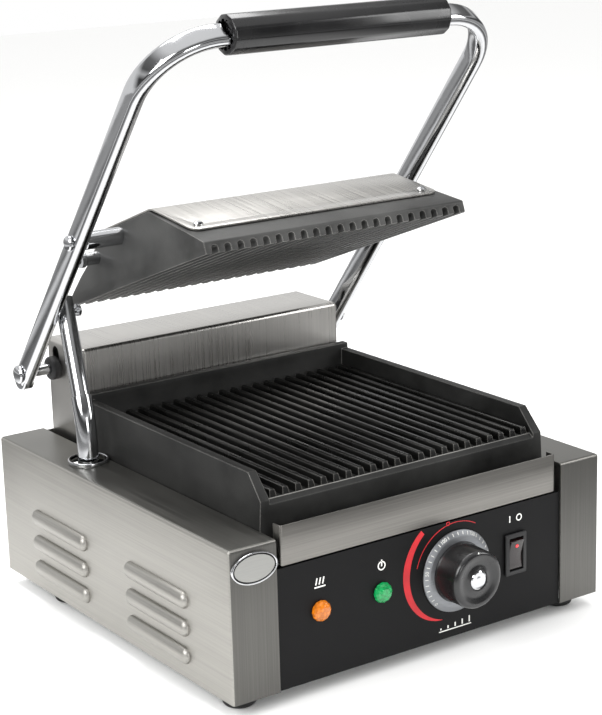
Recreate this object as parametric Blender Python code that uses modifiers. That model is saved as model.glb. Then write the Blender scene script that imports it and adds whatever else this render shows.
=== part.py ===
"""Contact grill (panini press): ribbed cast plates, stainless casing, lift handle.

Metres, +Z up, +X to the grill's right-hand side, front towards -Y.
The origin is at the middle of the bounding box, on the surface the feet stand on.
Each sub-part is one object; moving sub-parts hang from an empty on their joint's axis.
"""
import math

import bmesh
import bpy
from mathutils import Matrix, Vector

# ---------------------------------------------------------------- driving dimensions
WIDTH = 0.300              # over the two side casings
DEPTH = 0.300              # front of the pillars to the back of the casings
CASE_HEIGHT = 0.100        # side casing, bottom edge to top strip
FOOT_HEIGHT = 0.010
FOOT_RADIUS = 0.011
FOOT_INSET_X = 0.018
FOOT_INSET_FRONT = 0.022
FOOT_INSET_REAR = 0.058
SHEET = 0.0012             # stainless sheet of the casings and covers
SHEET_BEND = 0.0015
STRIP = 0.0344             # width of a casing's top strip and of its front pillar
TOUCH = 0.0003             # gap between pieces that touch
RUNNING = 0.0002           # radial clearance of a turning fit
SLIDING = 0.0006           # clearance of sheet parts that slide into each other

# louvres pressed out of the side walls
LOUVRE_LENGTH = 0.076
LOUVRE_HEIGHT = 0.0118
LOUVRE_REACH = 0.0045
LOUVRE_METAL = 0.0010      # sheet left in a louvre's hood
LOUVRE_ROWS = 3
LOUVRE_ROW_PITCH = 0.0187
LOUVRE_LOWEST = 0.0155     # above the casing's bottom edge
LOUVRE_FRONT = 0.087       # middle of the front column, behind the pillars
LOUVRE_COLUMN_PITCH = 0.129

# control panel and what is on it
PANEL_THICK = 0.0020
PANEL_RECESS = 0.0015
PANEL_HEIGHT = 0.080
CONTROL_HEIGHT = 0.0455    # lamps, knob and switch, above the casing's bottom edge
HOT_LAMP_X = -0.083
POWER_LAMP_X = -0.035
KNOB_X = 0.0255
SWITCH_X = 0.0757
LENS_RADIUS = 0.0070
LENS_REACH = 0.0045
LAMP_BARREL_RADIUS = 0.0050
LAMP_BODY_LENGTH = 0.016
SKIRT_RADIUS = 0.028
SKIRT_THICK = 0.0030
KNOB_RADIUS = 0.0200
KNOB_LENGTH = 0.0200
KNOB_INSERT_RADIUS = 0.0075
KNOB_FLUTES = 16
KNOB_FLUTE_RADIUS = 0.0024
SHAFT_RADIUS = 0.0030
SWITCH_FRAME = (0.0180, 0.0290)
SWITCH_FRAME_THICK = 0.0020
SWITCH_POCKET = (0.0120, 0.0232)
SWITCH_BODY_DEPTH = 0.022
ROCKER_SIZE = (0.0112, 0.0204)
ROCKER_THICK = 0.0062
ROCKER_TILT = math.radians(6.0)

# drip tray
TRAY_FRONT_HEIGHT = 0.026
TRAY_LENGTH = 0.082
TRAY_WALL = 0.0010
TRAY_BOX_HEIGHT = 0.010
TRAY_SIDE_GAP = 0.0041     # front strip to pillar, each side
TRAY_LIFT = 0.0012         # above the control panel's top edge
TRAY_RETURN = 0.0080       # folded end of the front strip
TRAY_BOX_INSET = 0.0045    # side of the box inside the strip's end
TRAY_RUNNER_THICK = 0.0009

# lower plate
PLATE_RIM = 0.0340         # rim above the top strips
PLATE_SKIRT = 0.0070       # skirt below the top strips
PLATE_WALL = 0.0062
PLATE_DRAFT = 0.0018
PLATE_SIDE_GAP = 0.0008
PLATE_FRONT = 0.0185       # front edge behind the pillars' front
PLATE_FRONT_SLOPE = 0.0143
PLATE_NOSE = 0.0184        # where the rims' front slope ends, above the top strips
PLATE_LIP_DROP = 0.0030    # the lip between the rims, below the end of their slope
PLATE_EDGE = 0.0010
RIB_TOP = 0.0235           # cooking surface above the top strips
RIB_HEIGHT = 0.0055
RIB_START = 0.0035         # the ribs' feet behind the plate's front edge
RIB_NOSE = 0.0014          # length of a rib's steep front end
RIB_TAPER = 0.3            # share of its width a rib loses towards its top
RIB_REAR_GAP = 0.0040
RIB_PITCH = 0.0097
RIB_WIDTH = 0.0050
RIB_COUNT = 22
PLATE_WEB = 0.0080
REAR_WALL_EXTRA = 0.0040

# heating elements, both alike
ELEMENT_RADIUS = 0.00325
ELEMENT_RUN_PITCH = 0.050
ELEMENT_RUNS = 4
CLAMP_THICK = 0.0015

# rear cover and hinge
COVER_DEPTH = 0.0534
COVER_HEIGHT = 0.0685      # above the top strips
COVER_INSET = 0.0056       # side of the cover to the inner edge of the top strip
COVER_SINK = 0.0120        # how far the cover reaches down inside the casing
PIVOT_FROM_REAR = 0.0153
PIVOT_HEIGHT = 0.0479      # above the top strips
PIVOT_RADIUS = 0.0040
BUSH_RADIUS = 0.0058
BUSH_FLANGE = 0.0085
SLOT_HEIGHT = 0.0155       # assembly slot above the hinge's axis
SPRING_RADIUS = 0.0092
SPRING_WIRE = 0.0015
SPRING_TURNS = 6

# handle
ARM_ANGLE = math.radians(51.1)
ARM_INSET = 0.0111         # outside of the arm inside the casing's outer face
ARM_THICK = 0.0096
ARM_BROAD = 0.0170
ARM_TAIL = 0.0060          # arm past the hinge to the middle of its round end
GRIP_DISTANCE = 0.3169     # hinge to the grip's axis
HANDLE_BEND = 0.045
GRIP_RADIUS = 0.0130
GRIP_LENGTH = 0.168

# upper plate, in its own frame: from its front edge, and above its lowest face
UPPER_SIDE_GAP = 0.0025    # to the lower plate's rim, each side
UPPER_FRONT_GAP = 0.0060   # behind the lower plate's top front edge, when closed
UPPER_REAR_GAP = 0.0058    # in front of the lower plate's rear wall, when closed
UPPER_EDGE = 0.0085
UPPER_SHOULDER = (0.0180, 0.0175)
UPPER_RIDGE = (0.0640, 0.0415)
UPPER_REAR_RIDGE = 0.0580
UPPER_LEAN = 0.0040        # how far the side walls lean in at the top
UPPER_WALL = 0.0100
UPPER_TILT = math.radians(20.0)
CLOSED_GAP = 0.0006        # between the two plates when closed
ROD_RADIUS = 0.0060
ROD_SHANK = 0.0032
ROD_HEIGHT = 0.0339
ROD_OFFSET = 0.0120        # behind the upper plate's middle
ROD_CAP_RADIUS = 0.0053
ROD_CAP_LENGTH = 0.0034
LEAD_BUSH_BACK = 0.036     # behind the rods
LEAD_BUSH_DROP = 0.0079    # below the rods
LEAD_BUSH_RADIUS = 0.0045
SCREW_RADIUS = 0.0032
SCREW_SHANK = 0.0014
SCREW_CLEARANCE = 0.0004

# conduit for the upper element's leads
CONDUIT_RADIUS = 0.00725
CONDUIT_WALL = 0.0012
CONDUIT_DISTANCE = 0.0640  # hinge to the conduit's bolt, along the arm
CONDUIT_SETBACK = 0.0772   # its hole in the strip, in front of the hinge
CONDUIT_KINK = 0.0270      # where it leans back, above the top strip
CONDUIT_BELOW = 0.0180
CONDUIT_CLEARANCE = 0.0054
CONDUIT_BEND = 0.0180      # length of bend each side of the kink
ESCUTCHEON_RIM = 0.00135   # width of the ring round the opening
ESCUTCHEON_HEIGHT = 0.0030
BOLT_RADIUS = 0.0025
BOLT_HEAD = 0.0045
CONDUIT_ARM_GAP = 0.0012

# rear panel and base pan
REAR_SLOT = (0.056, 0.005)
REAR_SLOT_COLUMNS = (-0.075, 0.0)
REAR_SLOT_ROWS = 4
REAR_SLOT_PITCH = 0.013
REAR_SLOT_LOWEST = 0.028
PAN_WALL = 0.015
PAN_SLOT = (0.100, 0.006)
PAN_SLOTS = 5
PAN_SLOT_PITCH = 0.030
PAN_SLOT_FIRST = 0.090
GLAND_X = 0.095
GLAND_Z = 0.030            # above the casing's bottom edge
GLAND_RADIUS = 0.0080
GLAND_FLANGE = 0.0110
GLAND_BORE = 0.0045
GLAND_REACH = 0.0120
BADGE = (0.0330, 0.0205, 0.0020)
BADGE_DROP = 0.0135        # middle of the badge below the pillar's top

# terminal block
TERMINAL_LOW = (0.020, 0.245)
TERMINAL_SIZE = (0.050, 0.020, 0.018)
TERMINAL_WELLS = 3
TERMINAL_PITCH = 0.015

# ---------------------------------------------------------------- worked-out places
HALF = WIDTH / 2
CASE_BOTTOM = FOOT_HEIGHT
CASE_TOP = FOOT_HEIGHT + CASE_HEIGHT
STRIP_EDGE = HALF - STRIP
PANEL_FRONT = PANEL_RECESS
PANEL_BACK = PANEL_FRONT + PANEL_THICK
CONTROL_Z = CASE_BOTTOM + CONTROL_HEIGHT
TRAY_BOTTOM = CASE_BOTTOM + PANEL_HEIGHT + TRAY_LIFT
KNOB_REACH = SKIRT_THICK + KNOB_LENGTH + 2 * TOUCH - PANEL_FRONT
Y_MIDDLE = (DEPTH + GLAND_REACH - KNOB_REACH) / 2

PLATE_HALF = STRIP_EDGE - PLATE_SIDE_GAP
PLATE_REAR = DEPTH - SHEET - COVER_DEPTH - 0.0030
PLATE_TOP = CASE_TOP + PLATE_RIM
RIB_TOP_Z = CASE_TOP + RIB_TOP
POCKET_HALF = PLATE_HALF - PLATE_DRAFT - PLATE_WALL
POCKET_REAR = PLATE_REAR - PLATE_WALL

PIVOT_Y = DEPTH - PIVOT_FROM_REAR
PIVOT_Z = CASE_TOP + PIVOT_HEIGHT
ARM_X = HALF - ARM_INSET - ARM_THICK / 2
ARM_INNER = ARM_X - ARM_THICK / 2

UPPER_HALF = POCKET_HALF - UPPER_SIDE_GAP
UPPER_FRONT_CLOSED = PLATE_FRONT + PLATE_FRONT_SLOPE + UPPER_FRONT_GAP
UPPER_DEPTH = POCKET_REAR - UPPER_REAR_GAP - UPPER_FRONT_CLOSED
ROD_SETBACK = UPPER_DEPTH / 2 + ROD_OFFSET
ROD_CLOSED = Vector((UPPER_FRONT_CLOSED + ROD_SETBACK, RIB_TOP_Z + CLOSED_GAP + ROD_HEIGHT))
ROD_DISTANCE = (ROD_CLOSED - Vector((PIVOT_Y, PIVOT_Z))).length

CONDUIT_Y = PIVOT_Y - CONDUIT_SETBACK
CONDUIT_OPENING = CONDUIT_RADIUS + CONDUIT_CLEARANCE
ESCUTCHEON_RADIUS = CONDUIT_OPENING + ESCUTCHEON_RIM
CONDUIT_X = -(STRIP_EDGE + ESCUTCHEON_RADIUS)
CONDUIT_TOP_X = -(ARM_INNER - CONDUIT_ARM_GAP - CONDUIT_RADIUS)
CONDUIT_RISE = PIVOT_HEIGHT + CONDUIT_DISTANCE * math.sin(ARM_ANGLE) - CONDUIT_KINK
CONDUIT_LEAN = abs(CONDUIT_TOP_X - CONDUIT_X) / CONDUIT_RISE

STEEL = ("stainless", (0.62, 0.62, 0.61), 0.32, 1.0)
CHROME = ("chrome", (0.85, 0.85, 0.86), 0.08, 1.0)
IRON = ("cast_iron", (0.05, 0.05, 0.05), 0.62, 0.4)
BLACK = ("black_plastic", (0.012, 0.012, 0.012), 0.42, 0.0)
RUBBER = ("rubber", (0.02, 0.02, 0.02), 0.8, 0.0)
GALVANISED = ("galvanised", (0.5, 0.5, 0.5), 0.5, 1.0)


# ---------------------------------------------------------------- helpers
def clear_scene():
    for obj in list(bpy.data.objects):
        bpy.data.objects.remove(obj, do_unlink=True)


def new_collection(name):
    collection = bpy.data.collections.new(name)
    bpy.context.scene.collection.children.link(collection)
    return collection


def material(look):
    name, colour, roughness, metallic = look
    if name in bpy.data.materials:
        return bpy.data.materials[name]
    made = bpy.data.materials.new(name)
    made.use_nodes = True
    shader = made.node_tree.nodes["Principled BSDF"]
    shader.inputs["Base Color"].default_value = (*colour, 1.0)
    shader.inputs["Roughness"].default_value = roughness
    shader.inputs["Metallic"].default_value = metallic
    return made


def frame_empty(name, location, parent=None, turn_x=0.0):
    """An empty on a joint's axis, or at the origin of a fixed assembly."""
    empty = bpy.data.objects.new(name, None)
    parts.objects.link(empty)
    empty.location = location
    empty.rotation_euler = (turn_x, 0.0, 0.0)
    empty.parent = parent
    return empty


def finish(name, mesh, parent, look=None, cutter=False, location=(0, 0, 0)):
    """Put a mesh into the scene as a named sub-part, or as a cutter."""
    obj = bpy.data.objects.new(name, mesh)
    (cutters if cutter else parts).objects.link(obj)
    obj.location = location
    obj.parent = parent
    if cutter:
        obj.hide_render = True
        obj.display_type = 'WIRE'
    else:
        obj.data.materials.append(material(look))
    return obj


def mesh_from(bm, name, smooth=False):
    bmesh.ops.recalc_face_normals(bm, faces=bm.faces)
    mesh = bpy.data.meshes.new(name)
    bm.to_mesh(mesh)
    bm.free()
    if smooth:
        mesh.shade_smooth()
        mesh.set_sharp_from_angle(angle=math.radians(35))
    return mesh


def add_box(bm, low, high):
    """A cube stretched between two corners; returns its vertices."""
    low = Vector(low)
    high = Vector(high)
    size = high - low
    place = Matrix.Translation((low + high) / 2) @ Matrix.Diagonal((*size, 1.0))
    return bmesh.ops.create_cube(bm, size=1.0, matrix=place)["verts"]


def add_cylinder(bm, radius, start, end, sides=24, end_radius=None):
    """A cylinder, or a cone, from one point to another."""
    start = Vector(start)
    end = Vector(end)
    axis = end - start
    turn = Vector((0, 0, 1)).rotation_difference(axis).to_matrix().to_4x4()
    place = Matrix.Translation((start + end) / 2) @ turn
    far = radius if end_radius is None else end_radius
    made = bmesh.ops.create_cone(bm, cap_ends=True, segments=sides, radius1=radius,
                                 radius2=far, depth=axis.length, matrix=place)
    return made["verts"]


def box(name, low, high, parent, look=None, cutter=False):
    bm = bmesh.new()
    add_box(bm, low, high)
    return finish(name, mesh_from(bm, name), parent, look, cutter)


def rod(name, radius, start, end, parent, look=None, cutter=False, sides=24):
    bm = bmesh.new()
    add_cylinder(bm, radius, start, end, sides)
    return finish(name, mesh_from(bm, name, smooth=True), parent, look, cutter)


def prism(bm, outline, low_x, high_x):
    """Extrude an outline of (y, z) points from one x to another."""
    verts = [bm.verts.new((low_x, y, z)) for y, z in outline]
    face = bm.faces.new(verts)
    grown = bmesh.ops.extrude_face_region(bm, geom=[face])["geom"]
    moved = [v for v in grown if isinstance(v, bmesh.types.BMVert)]
    bmesh.ops.translate(bm, verts=moved, vec=(high_x - low_x, 0, 0))
    return verts + moved


def turned(name, profile, parent, look, location, axis='Z', sides=28):
    """Revolve a closed (radius, height) profile, given top to bottom on its outer side.

    axis is the name of a direction, or a vector, that the profile's heights run along.
    """
    bm = bmesh.new()
    verts = [bm.verts.new((r, 0, z)) for r, z in profile]
    on_axis = profile[0][0] == 0.0
    for first, second in zip(verts, verts[1:]):
        bm.edges.new((first, second))
    if not on_axis:
        bm.edges.new((verts[-1], verts[0]))
    mesh = bpy.data.meshes.new(name)
    bm.to_mesh(mesh)
    bm.free()
    obj = finish(name, mesh, parent, look, location=location)
    screw = obj.modifiers.new("turn", 'SCREW')
    screw.axis = 'Z'
    screw.steps = sides
    screw.render_steps = sides
    screw.use_merge_vertices = True
    screw.merge_threshold = 0.00001
    screw.use_smooth_shade = True
    facing = {'Z': (0, 0, 0), '-Y': (90, 0, 0), '+Y': (-90, 0, 0), '+X': (0, 90, 0), '-X': (0, -90, 0)}
    if isinstance(axis, str):
        obj.rotation_euler = [math.radians(angle) for angle in facing[axis]]
    else:
        obj.rotation_euler = axis.to_track_quat('Z', 'Y').to_euler()
    return obj


def swept(name, points, radius, parent, look, radii=None, sides_level=2, caps=True):
    """A round wire or tube along points, made a mesh with its caps welded."""
    curve = bpy.data.curves.new(name, 'CURVE')
    curve.dimensions = '3D'
    spline = curve.splines.new('POLY')
    spline.points.add(len(points) - 1)
    for index, point in enumerate(points):
        spline.points[index].co = (*point, 1.0)
        if radii:
            spline.points[index].radius = radii[index]
    curve.bevel_depth = radius
    curve.bevel_resolution = sides_level
    curve.use_fill_caps = caps
    mesh = curve_mesh(curve, name)
    mesh.shade_smooth()
    return finish(name, mesh, parent, look)


def curve_mesh(curve, name):
    guide = bpy.data.objects.new(name + "_guide", curve)
    bpy.context.scene.collection.objects.link(guide)
    bpy.context.view_layer.update()
    evaluated = guide.evaluated_get(bpy.context.evaluated_depsgraph_get())
    mesh = bpy.data.meshes.new_from_object(evaluated)
    bpy.data.objects.remove(guide, do_unlink=True)
    bm = bmesh.new()
    bm.from_mesh(mesh)
    bmesh.ops.remove_doubles(bm, verts=bm.verts, dist=0.00001)
    bmesh.ops.recalc_face_normals(bm, faces=bm.faces)
    bm.to_mesh(mesh)
    bm.free()
    return mesh


def boolean(obj, other, operation):
    cut = obj.modifiers.new(operation.lower(), 'BOOLEAN')
    cut.operation = operation
    cut.object = other
    cut.solver = 'EXACT'
    return obj


def bevel(obj, width, segments=1, angle=40):
    made = obj.modifiers.new("edges", 'BEVEL')
    made.width = width
    made.segments = segments
    made.limit_method = 'ANGLE'
    made.angle_limit = math.radians(angle)
    return obj


def solidify(obj, thickness, offset=-1.0):
    made = obj.modifiers.new("sheet", 'SOLIDIFY')
    made.thickness = thickness
    made.offset = offset
    made.use_even_offset = True
    return obj


def open_box(name, low, high, missing, parent, look, wall, bend=SHEET_BEND):
    """A box of sheet with the named sides left out, its wall measured inwards."""
    bm = bmesh.new()
    add_box(bm, low, high)
    bmesh.ops.recalc_face_normals(bm, faces=bm.faces)
    sides = {'-X': (-1, 0, 0), '+X': (1, 0, 0), '-Y': (0, -1, 0), '+Y': (0, 1, 0),
             '-Z': (0, 0, -1), '+Z': (0, 0, 1)}
    gone = [f for f in bm.faces
            if any(f.normal.dot(Vector(sides[side])) > 0.9 for side in missing)]
    bmesh.ops.delete(bm, geom=gone, context='FACES')
    mesh = bpy.data.meshes.new(name)
    bm.to_mesh(mesh)
    bm.free()
    obj = finish(name, mesh, parent, look)
    if bend:
        bevel(obj, bend, 2)
    return solidify(obj, wall)


def arc(centre, radius, start, stop, steps):
    """Points on an arc in a plane, from one angle to another in degrees."""
    angles = [math.radians(start + (stop - start) * i / steps) for i in range(steps + 1)]
    return [(centre[0] + radius * math.cos(a), centre[1] + radius * math.sin(a)) for a in angles]


# ---------------------------------------------------------------- base
def louvre_set(name, side, shrink, frame):
    """Stretched balls, six to a side wall; the smaller set hollows the larger."""
    bm = bmesh.new()
    for row in range(LOUVRE_ROWS):
        for column in range(2):
            centre = Vector((side * (HALF - shrink),
                             LOUVRE_FRONT + column * LOUVRE_COLUMN_PITCH,
                             CASE_BOTTOM + LOUVRE_LOWEST + row * LOUVRE_ROW_PITCH))
            size = (LOUVRE_REACH, LOUVRE_LENGTH / 2 - shrink, LOUVRE_HEIGHT / 2 - shrink)
            place = Matrix.Translation(centre) @ Matrix.Diagonal((*size, 1.0))
            turn = Matrix.Rotation(math.radians(90), 4, 'X')
            bmesh.ops.create_uvsphere(bm, u_segments=8, v_segments=6, radius=1.0,
                                      matrix=place @ turn)
    if shrink == 0.0:
        everything = bm.verts[:] + bm.edges[:] + bm.faces[:]
        middle_of_sheet = (side * (HALF - SHEET / 2), 0, 0)
        bmesh.ops.bisect_plane(bm, geom=everything, plane_co=middle_of_sheet,
                               plane_no=(side, 0, 0), clear_inner=True)
        bmesh.ops.holes_fill(bm, edges=bm.edges)
    return finish(name, mesh_from(bm, name), frame, cutter=True)


def side_casing(name, side, frame):
    """Side wall, top strip and front pillar, folded from one sheet."""
    low = (min(side * HALF, side * STRIP_EDGE), 0, CASE_BOTTOM)
    high = (max(side * HALF, side * STRIP_EDGE), DEPTH, CASE_TOP)
    inner = '+X' if side < 0 else '-X'
    obj = open_box(name, low, high, (inner, '-Z', '+Y'), frame, STEEL, SHEET)
    boolean(obj, louvre_set(name + "_hoods", side, 0.0, frame), 'UNION')
    boolean(obj, louvre_set(name + "_hollows", side, LOUVRE_METAL, frame), 'DIFFERENCE')
    if side < 0:
        hole = rod("conduit_hole", CONDUIT_OPENING,
                   (CONDUIT_X, CONDUIT_Y, CASE_TOP - 0.02),
                   (CONDUIT_X, CONDUIT_Y, CASE_TOP + 0.02), frame, cutter=True, sides=28)
        boolean(obj, hole, 'DIFFERENCE')
    return obj


def base_pan(frame):
    """Bottom tray inside the casings, with cooling slots."""
    edge = HALF - SHEET - SLIDING
    obj = open_box("base_pan", (-edge, 0.006, CASE_BOTTOM),
                   (edge, DEPTH - 0.003, CASE_BOTTOM + PAN_WALL), ('+Z',), frame, STEEL, SHEET)
    bm = bmesh.new()
    long, wide = PAN_SLOT[0] / 2, PAN_SLOT[1] / 2
    for index in range(PAN_SLOTS):
        middle = PAN_SLOT_FIRST + index * PAN_SLOT_PITCH
        add_box(bm, (-long, middle - wide, CASE_BOTTOM - 0.01),
                (long, middle + wide, CASE_BOTTOM + 0.01))
    slots = finish("pan_slots", mesh_from(bm, "pan_slots"), frame, cutter=True)
    return boolean(obj, slots, 'DIFFERENCE')


def rear_panel(frame):
    """Back sheet with a grid of slots and the hole for the cable gland."""
    edge = HALF - SHEET - SLIDING
    back = DEPTH - 0.0006
    obj = box("rear_panel", (-edge, back - SHEET, CASE_BOTTOM),
              (edge, back, CASE_TOP - SHEET - TOUCH), frame, STEEL)
    bm = bmesh.new()
    wide, tall = REAR_SLOT[0] / 2, REAR_SLOT[1] / 2
    for column in REAR_SLOT_COLUMNS:
        for row in range(REAR_SLOT_ROWS):
            z = CASE_BOTTOM + REAR_SLOT_LOWEST + row * REAR_SLOT_PITCH
            add_box(bm, (column - wide, back - 0.01, z - tall),
                    (column + wide, back + 0.01, z + tall))
    z = CASE_BOTTOM + GLAND_Z
    add_cylinder(bm, GLAND_RADIUS + TOUCH, (GLAND_X, back - 0.01, z),
                 (GLAND_X, back + 0.01, z), 24)
    slots = finish("rear_slots", mesh_from(bm, "rear_slots"), frame, cutter=True)
    return boolean(obj, slots, 'DIFFERENCE')


def cable_gland(frame):
    """Inlet for the mains lead: flange outside, barrel through the rear panel."""
    back = DEPTH - 0.0006
    reach = DEPTH + GLAND_REACH - back
    profile = [(GLAND_BORE, reach), (GLAND_RADIUS - 0.001, reach), (GLAND_RADIUS, reach - 0.002),
               (GLAND_RADIUS, 0.0045), (GLAND_FLANGE, 0.0035), (GLAND_FLANGE, TOUCH),
               (GLAND_RADIUS, TOUCH), (GLAND_RADIUS, -0.010), (GLAND_BORE, -0.010)]
    turned("cable_gland", profile, frame, BLACK, (GLAND_X, back, CASE_BOTTOM + GLAND_Z), '+Y', 24)


def control_panel(frame):
    """Black front panel, pierced for the lamps, the thermostat shaft and the switch."""
    edge = STRIP_EDGE - TOUCH
    obj = box("control_panel", (-edge, PANEL_FRONT, CASE_BOTTOM),
              (edge, PANEL_BACK, CASE_BOTTOM + PANEL_HEIGHT), frame, BLACK)
    bm = bmesh.new()
    for x in (HOT_LAMP_X, POWER_LAMP_X):
        add_cylinder(bm, LAMP_BARREL_RADIUS + TOUCH, (x, -0.01, CONTROL_Z),
                     (x, 0.02, CONTROL_Z), 24)
    add_cylinder(bm, SHAFT_RADIUS + 0.001, (KNOB_X, -0.01, CONTROL_Z),
                 (KNOB_X, 0.02, CONTROL_Z), 20)
    hole = [SWITCH_POCKET[i] / 2 + 0.001 + TOUCH for i in range(2)]
    add_box(bm, (SWITCH_X - hole[0], -0.01, CONTROL_Z - hole[1]),
            (SWITCH_X + hole[0], 0.02, CONTROL_Z + hole[1]))
    holes = finish("panel_holes", mesh_from(bm, "panel_holes"), frame, cutter=True)
    return boolean(obj, holes, 'DIFFERENCE')


def indicator(prefix, x, colour, frame):
    """A signal lamp: coloured lens in front of the panel, holder behind it."""
    lens_look = (prefix + "_lens", colour, 0.15, 0.0)
    barrel = PANEL_THICK + TOUCH
    profile = [(0.0, LENS_REACH), (LENS_RADIUS * 0.5, LENS_REACH * 0.93),
               (LENS_RADIUS * 0.85, LENS_REACH * 0.62), (LENS_RADIUS, 0.0012), (LENS_RADIUS, TOUCH),
               (LAMP_BARREL_RADIUS, TOUCH),
               (LAMP_BARREL_RADIUS, -barrel), (0.0, -barrel)]
    turned(prefix + "_lens", profile, frame, lens_look, (x, PANEL_FRONT, CONTROL_Z), '-Y', 24)
    back = PANEL_BACK + 2 * TOUCH
    body = [(0.0, 0.0), (LENS_RADIUS, 0.0), (LENS_RADIUS, -0.004), (LAMP_BARREL_RADIUS, -0.005),
            (LAMP_BARREL_RADIUS, -LAMP_BODY_LENGTH), (0.0, -LAMP_BODY_LENGTH)]
    turned(prefix + "_body", body, frame, BLACK, (x, back, CONTROL_Z), '-Y', 20)


def thermostat(frame, knob_frame):
    """Body behind the panel, turning shaft, and the probe under the lower plate."""
    body = box("thermostat_body", (KNOB_X - 0.018, PANEL_BACK + 0.001, CONTROL_Z - 0.016),
               (KNOB_X + 0.018, PANEL_BACK + 0.027, CONTROL_Z + 0.016), frame, GALVANISED)
    bore = rod("thermostat_bore", SHAFT_RADIUS + RUNNING, (KNOB_X, -0.02, CONTROL_Z),
               (KNOB_X, 0.018, CONTROL_Z), frame, cutter=True)
    bevel(body, 0.001)
    boolean(body, bore, 'DIFFERENCE')
    rod("thermostat_shaft", SHAFT_RADIUS, (0, 0.016, 0), (0, -SKIRT_THICK - 0.012, 0),
        knob_frame, STEEL)
    top = CASE_TOP + RIB_TOP - RIB_HEIGHT - PLATE_WEB
    bulb_z = top - TOUCH - 0.003
    bulb_x = ELEMENT_RUN_PITCH
    rear = POCKET_REAR - 0.007
    low = CASE_BOTTOM + 0.050
    points = [(bulb_x, 0.100, bulb_z), (bulb_x, 0.102, bulb_z), (bulb_x, 0.168, bulb_z),
              (bulb_x, 0.171, bulb_z), (bulb_x, rear - 0.006, bulb_z), (bulb_x, rear, bulb_z - 0.006),
              (bulb_x, rear, low + 0.010), (bulb_x, rear - 0.010, low), (bulb_x, 0.120, low),
              (KNOB_X + 0.010, 0.080, low), (KNOB_X + 0.010, PANEL_BACK + 0.0275, low)]
    radii = [1.0, 3.0, 3.0, 1.0] + [1.0] * 7
    swept("thermostat_probe", points, 0.0010, frame, GALVANISED, radii)


def dial(knob_frame):
    """Skirt with the scale, fluted cap and bright centre."""
    skirt = [(SHAFT_RADIUS + TOUCH, SKIRT_THICK + TOUCH), (SKIRT_RADIUS - 0.004, SKIRT_THICK + TOUCH),
             (SKIRT_RADIUS, 0.0012), (SKIRT_RADIUS, TOUCH), (SHAFT_RADIUS + TOUCH, TOUCH)]
    turned("dial_skirt", skirt, knob_frame, ("dial_grey", (0.35, 0.35, 0.36), 0.4, 0.6),
           (0, 0, 0), '-Y', 40)
    back = SKIRT_THICK + 2 * TOUCH
    front = back + KNOB_LENGTH
    floor = front - 0.0012
    bore_end = back + 0.0125
    bore = SHAFT_RADIUS + TOUCH
    cap = [(0.0, floor), (KNOB_INSERT_RADIUS + TOUCH, floor), (KNOB_INSERT_RADIUS + TOUCH, front),
           (KNOB_RADIUS - 0.0035, front), (KNOB_RADIUS - 0.0012, front - 0.0012),
           (KNOB_RADIUS, front - 0.004), (KNOB_RADIUS, back + 0.003),
           (KNOB_RADIUS + 0.0012, back), (bore, back), (bore, bore_end), (0.0, bore_end)]
    knob = turned("knob_cap", cap, knob_frame, BLACK, (0, 0, 0), '-Y', 32)
    bm = bmesh.new()
    for index in range(KNOB_FLUTES):
        angle = 2 * math.pi * index / KNOB_FLUTES
        reach = KNOB_RADIUS + 0.0016
        x = reach * math.cos(angle)
        z = reach * math.sin(angle)
        add_cylinder(bm, KNOB_FLUTE_RADIUS, (x, -back - 0.004, z), (x, -front - 0.01, z), 6)
    cut = finish("knob_flutes", mesh_from(bm, "knob_flutes"), knob_frame, cutter=True)
    boolean(knob, cut, 'DIFFERENCE')
    insert = [(0.0, 0.0011), (KNOB_INSERT_RADIUS - 0.001, 0.0011), (KNOB_INSERT_RADIUS, 0.0008),
              (KNOB_INSERT_RADIUS, TOUCH), (0.0, TOUCH)]
    turned("knob_insert", insert, knob_frame, CHROME, (0, -floor, 0), '-Y', 28)


def rocker_switch(frame, rocker_frame):
    """Bezel and body with a pocket, and the rocker that tips in it."""
    width, height = SWITCH_FRAME
    body_half = [SWITCH_POCKET[i] / 2 + 0.001 for i in range(2)]
    front = PANEL_FRONT - TOUCH
    bm = bmesh.new()
    add_box(bm, (SWITCH_X - width / 2, front - SWITCH_FRAME_THICK, CONTROL_Z - height / 2),
            (SWITCH_X + width / 2, front, CONTROL_Z + height / 2))
    body = finish("switch_body", mesh_from(bm, "switch_body"), frame, BLACK)
    block = box("switch_block", (SWITCH_X - body_half[0], front - 0.001, CONTROL_Z - body_half[1]),
                (SWITCH_X + body_half[0], front + SWITCH_BODY_DEPTH, CONTROL_Z + body_half[1]),
                frame, cutter=True)
    boolean(body, block, 'UNION')
    half = [SWITCH_POCKET[i] / 2 for i in range(2)]
    pocket = box("switch_pocket", (SWITCH_X - half[0], front - 0.02, CONTROL_Z - half[1]),
                 (SWITCH_X + half[0], front + 0.008, CONTROL_Z + half[1]), frame, cutter=True)
    boolean(body, pocket, 'DIFFERENCE')
    tall = ROCKER_SIZE[1] / 2
    outline = [(-ROCKER_THICK * 0.60, tall), (-ROCKER_THICK * 0.38, 0.0),
               (-ROCKER_THICK * 0.60, -tall), (ROCKER_THICK * 0.25, -tall),
               (ROCKER_THICK * 0.40, 0.0), (ROCKER_THICK * 0.25, tall)]
    bm = bmesh.new()
    prism(bm, outline, -ROCKER_SIZE[0] / 2, ROCKER_SIZE[0] / 2)
    rocker = finish("switch_rocker", mesh_from(bm, "switch_rocker"), rocker_frame, BLACK)
    rocker.rotation_euler = (ROCKER_TILT, 0, 0)
    bevel(rocker, 0.0004)


def foot(name, x, y, frame):
    profile = [(0.0, FOOT_HEIGHT - TOUCH), (FOOT_RADIUS, FOOT_HEIGHT - TOUCH), (FOOT_RADIUS, 0.0035),
               (FOOT_RADIUS - 0.0015, 0.0), (0.0, 0.0)]
    turned(name, profile, frame, RUBBER, (x, y, 0), 'Z', 20)


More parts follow.
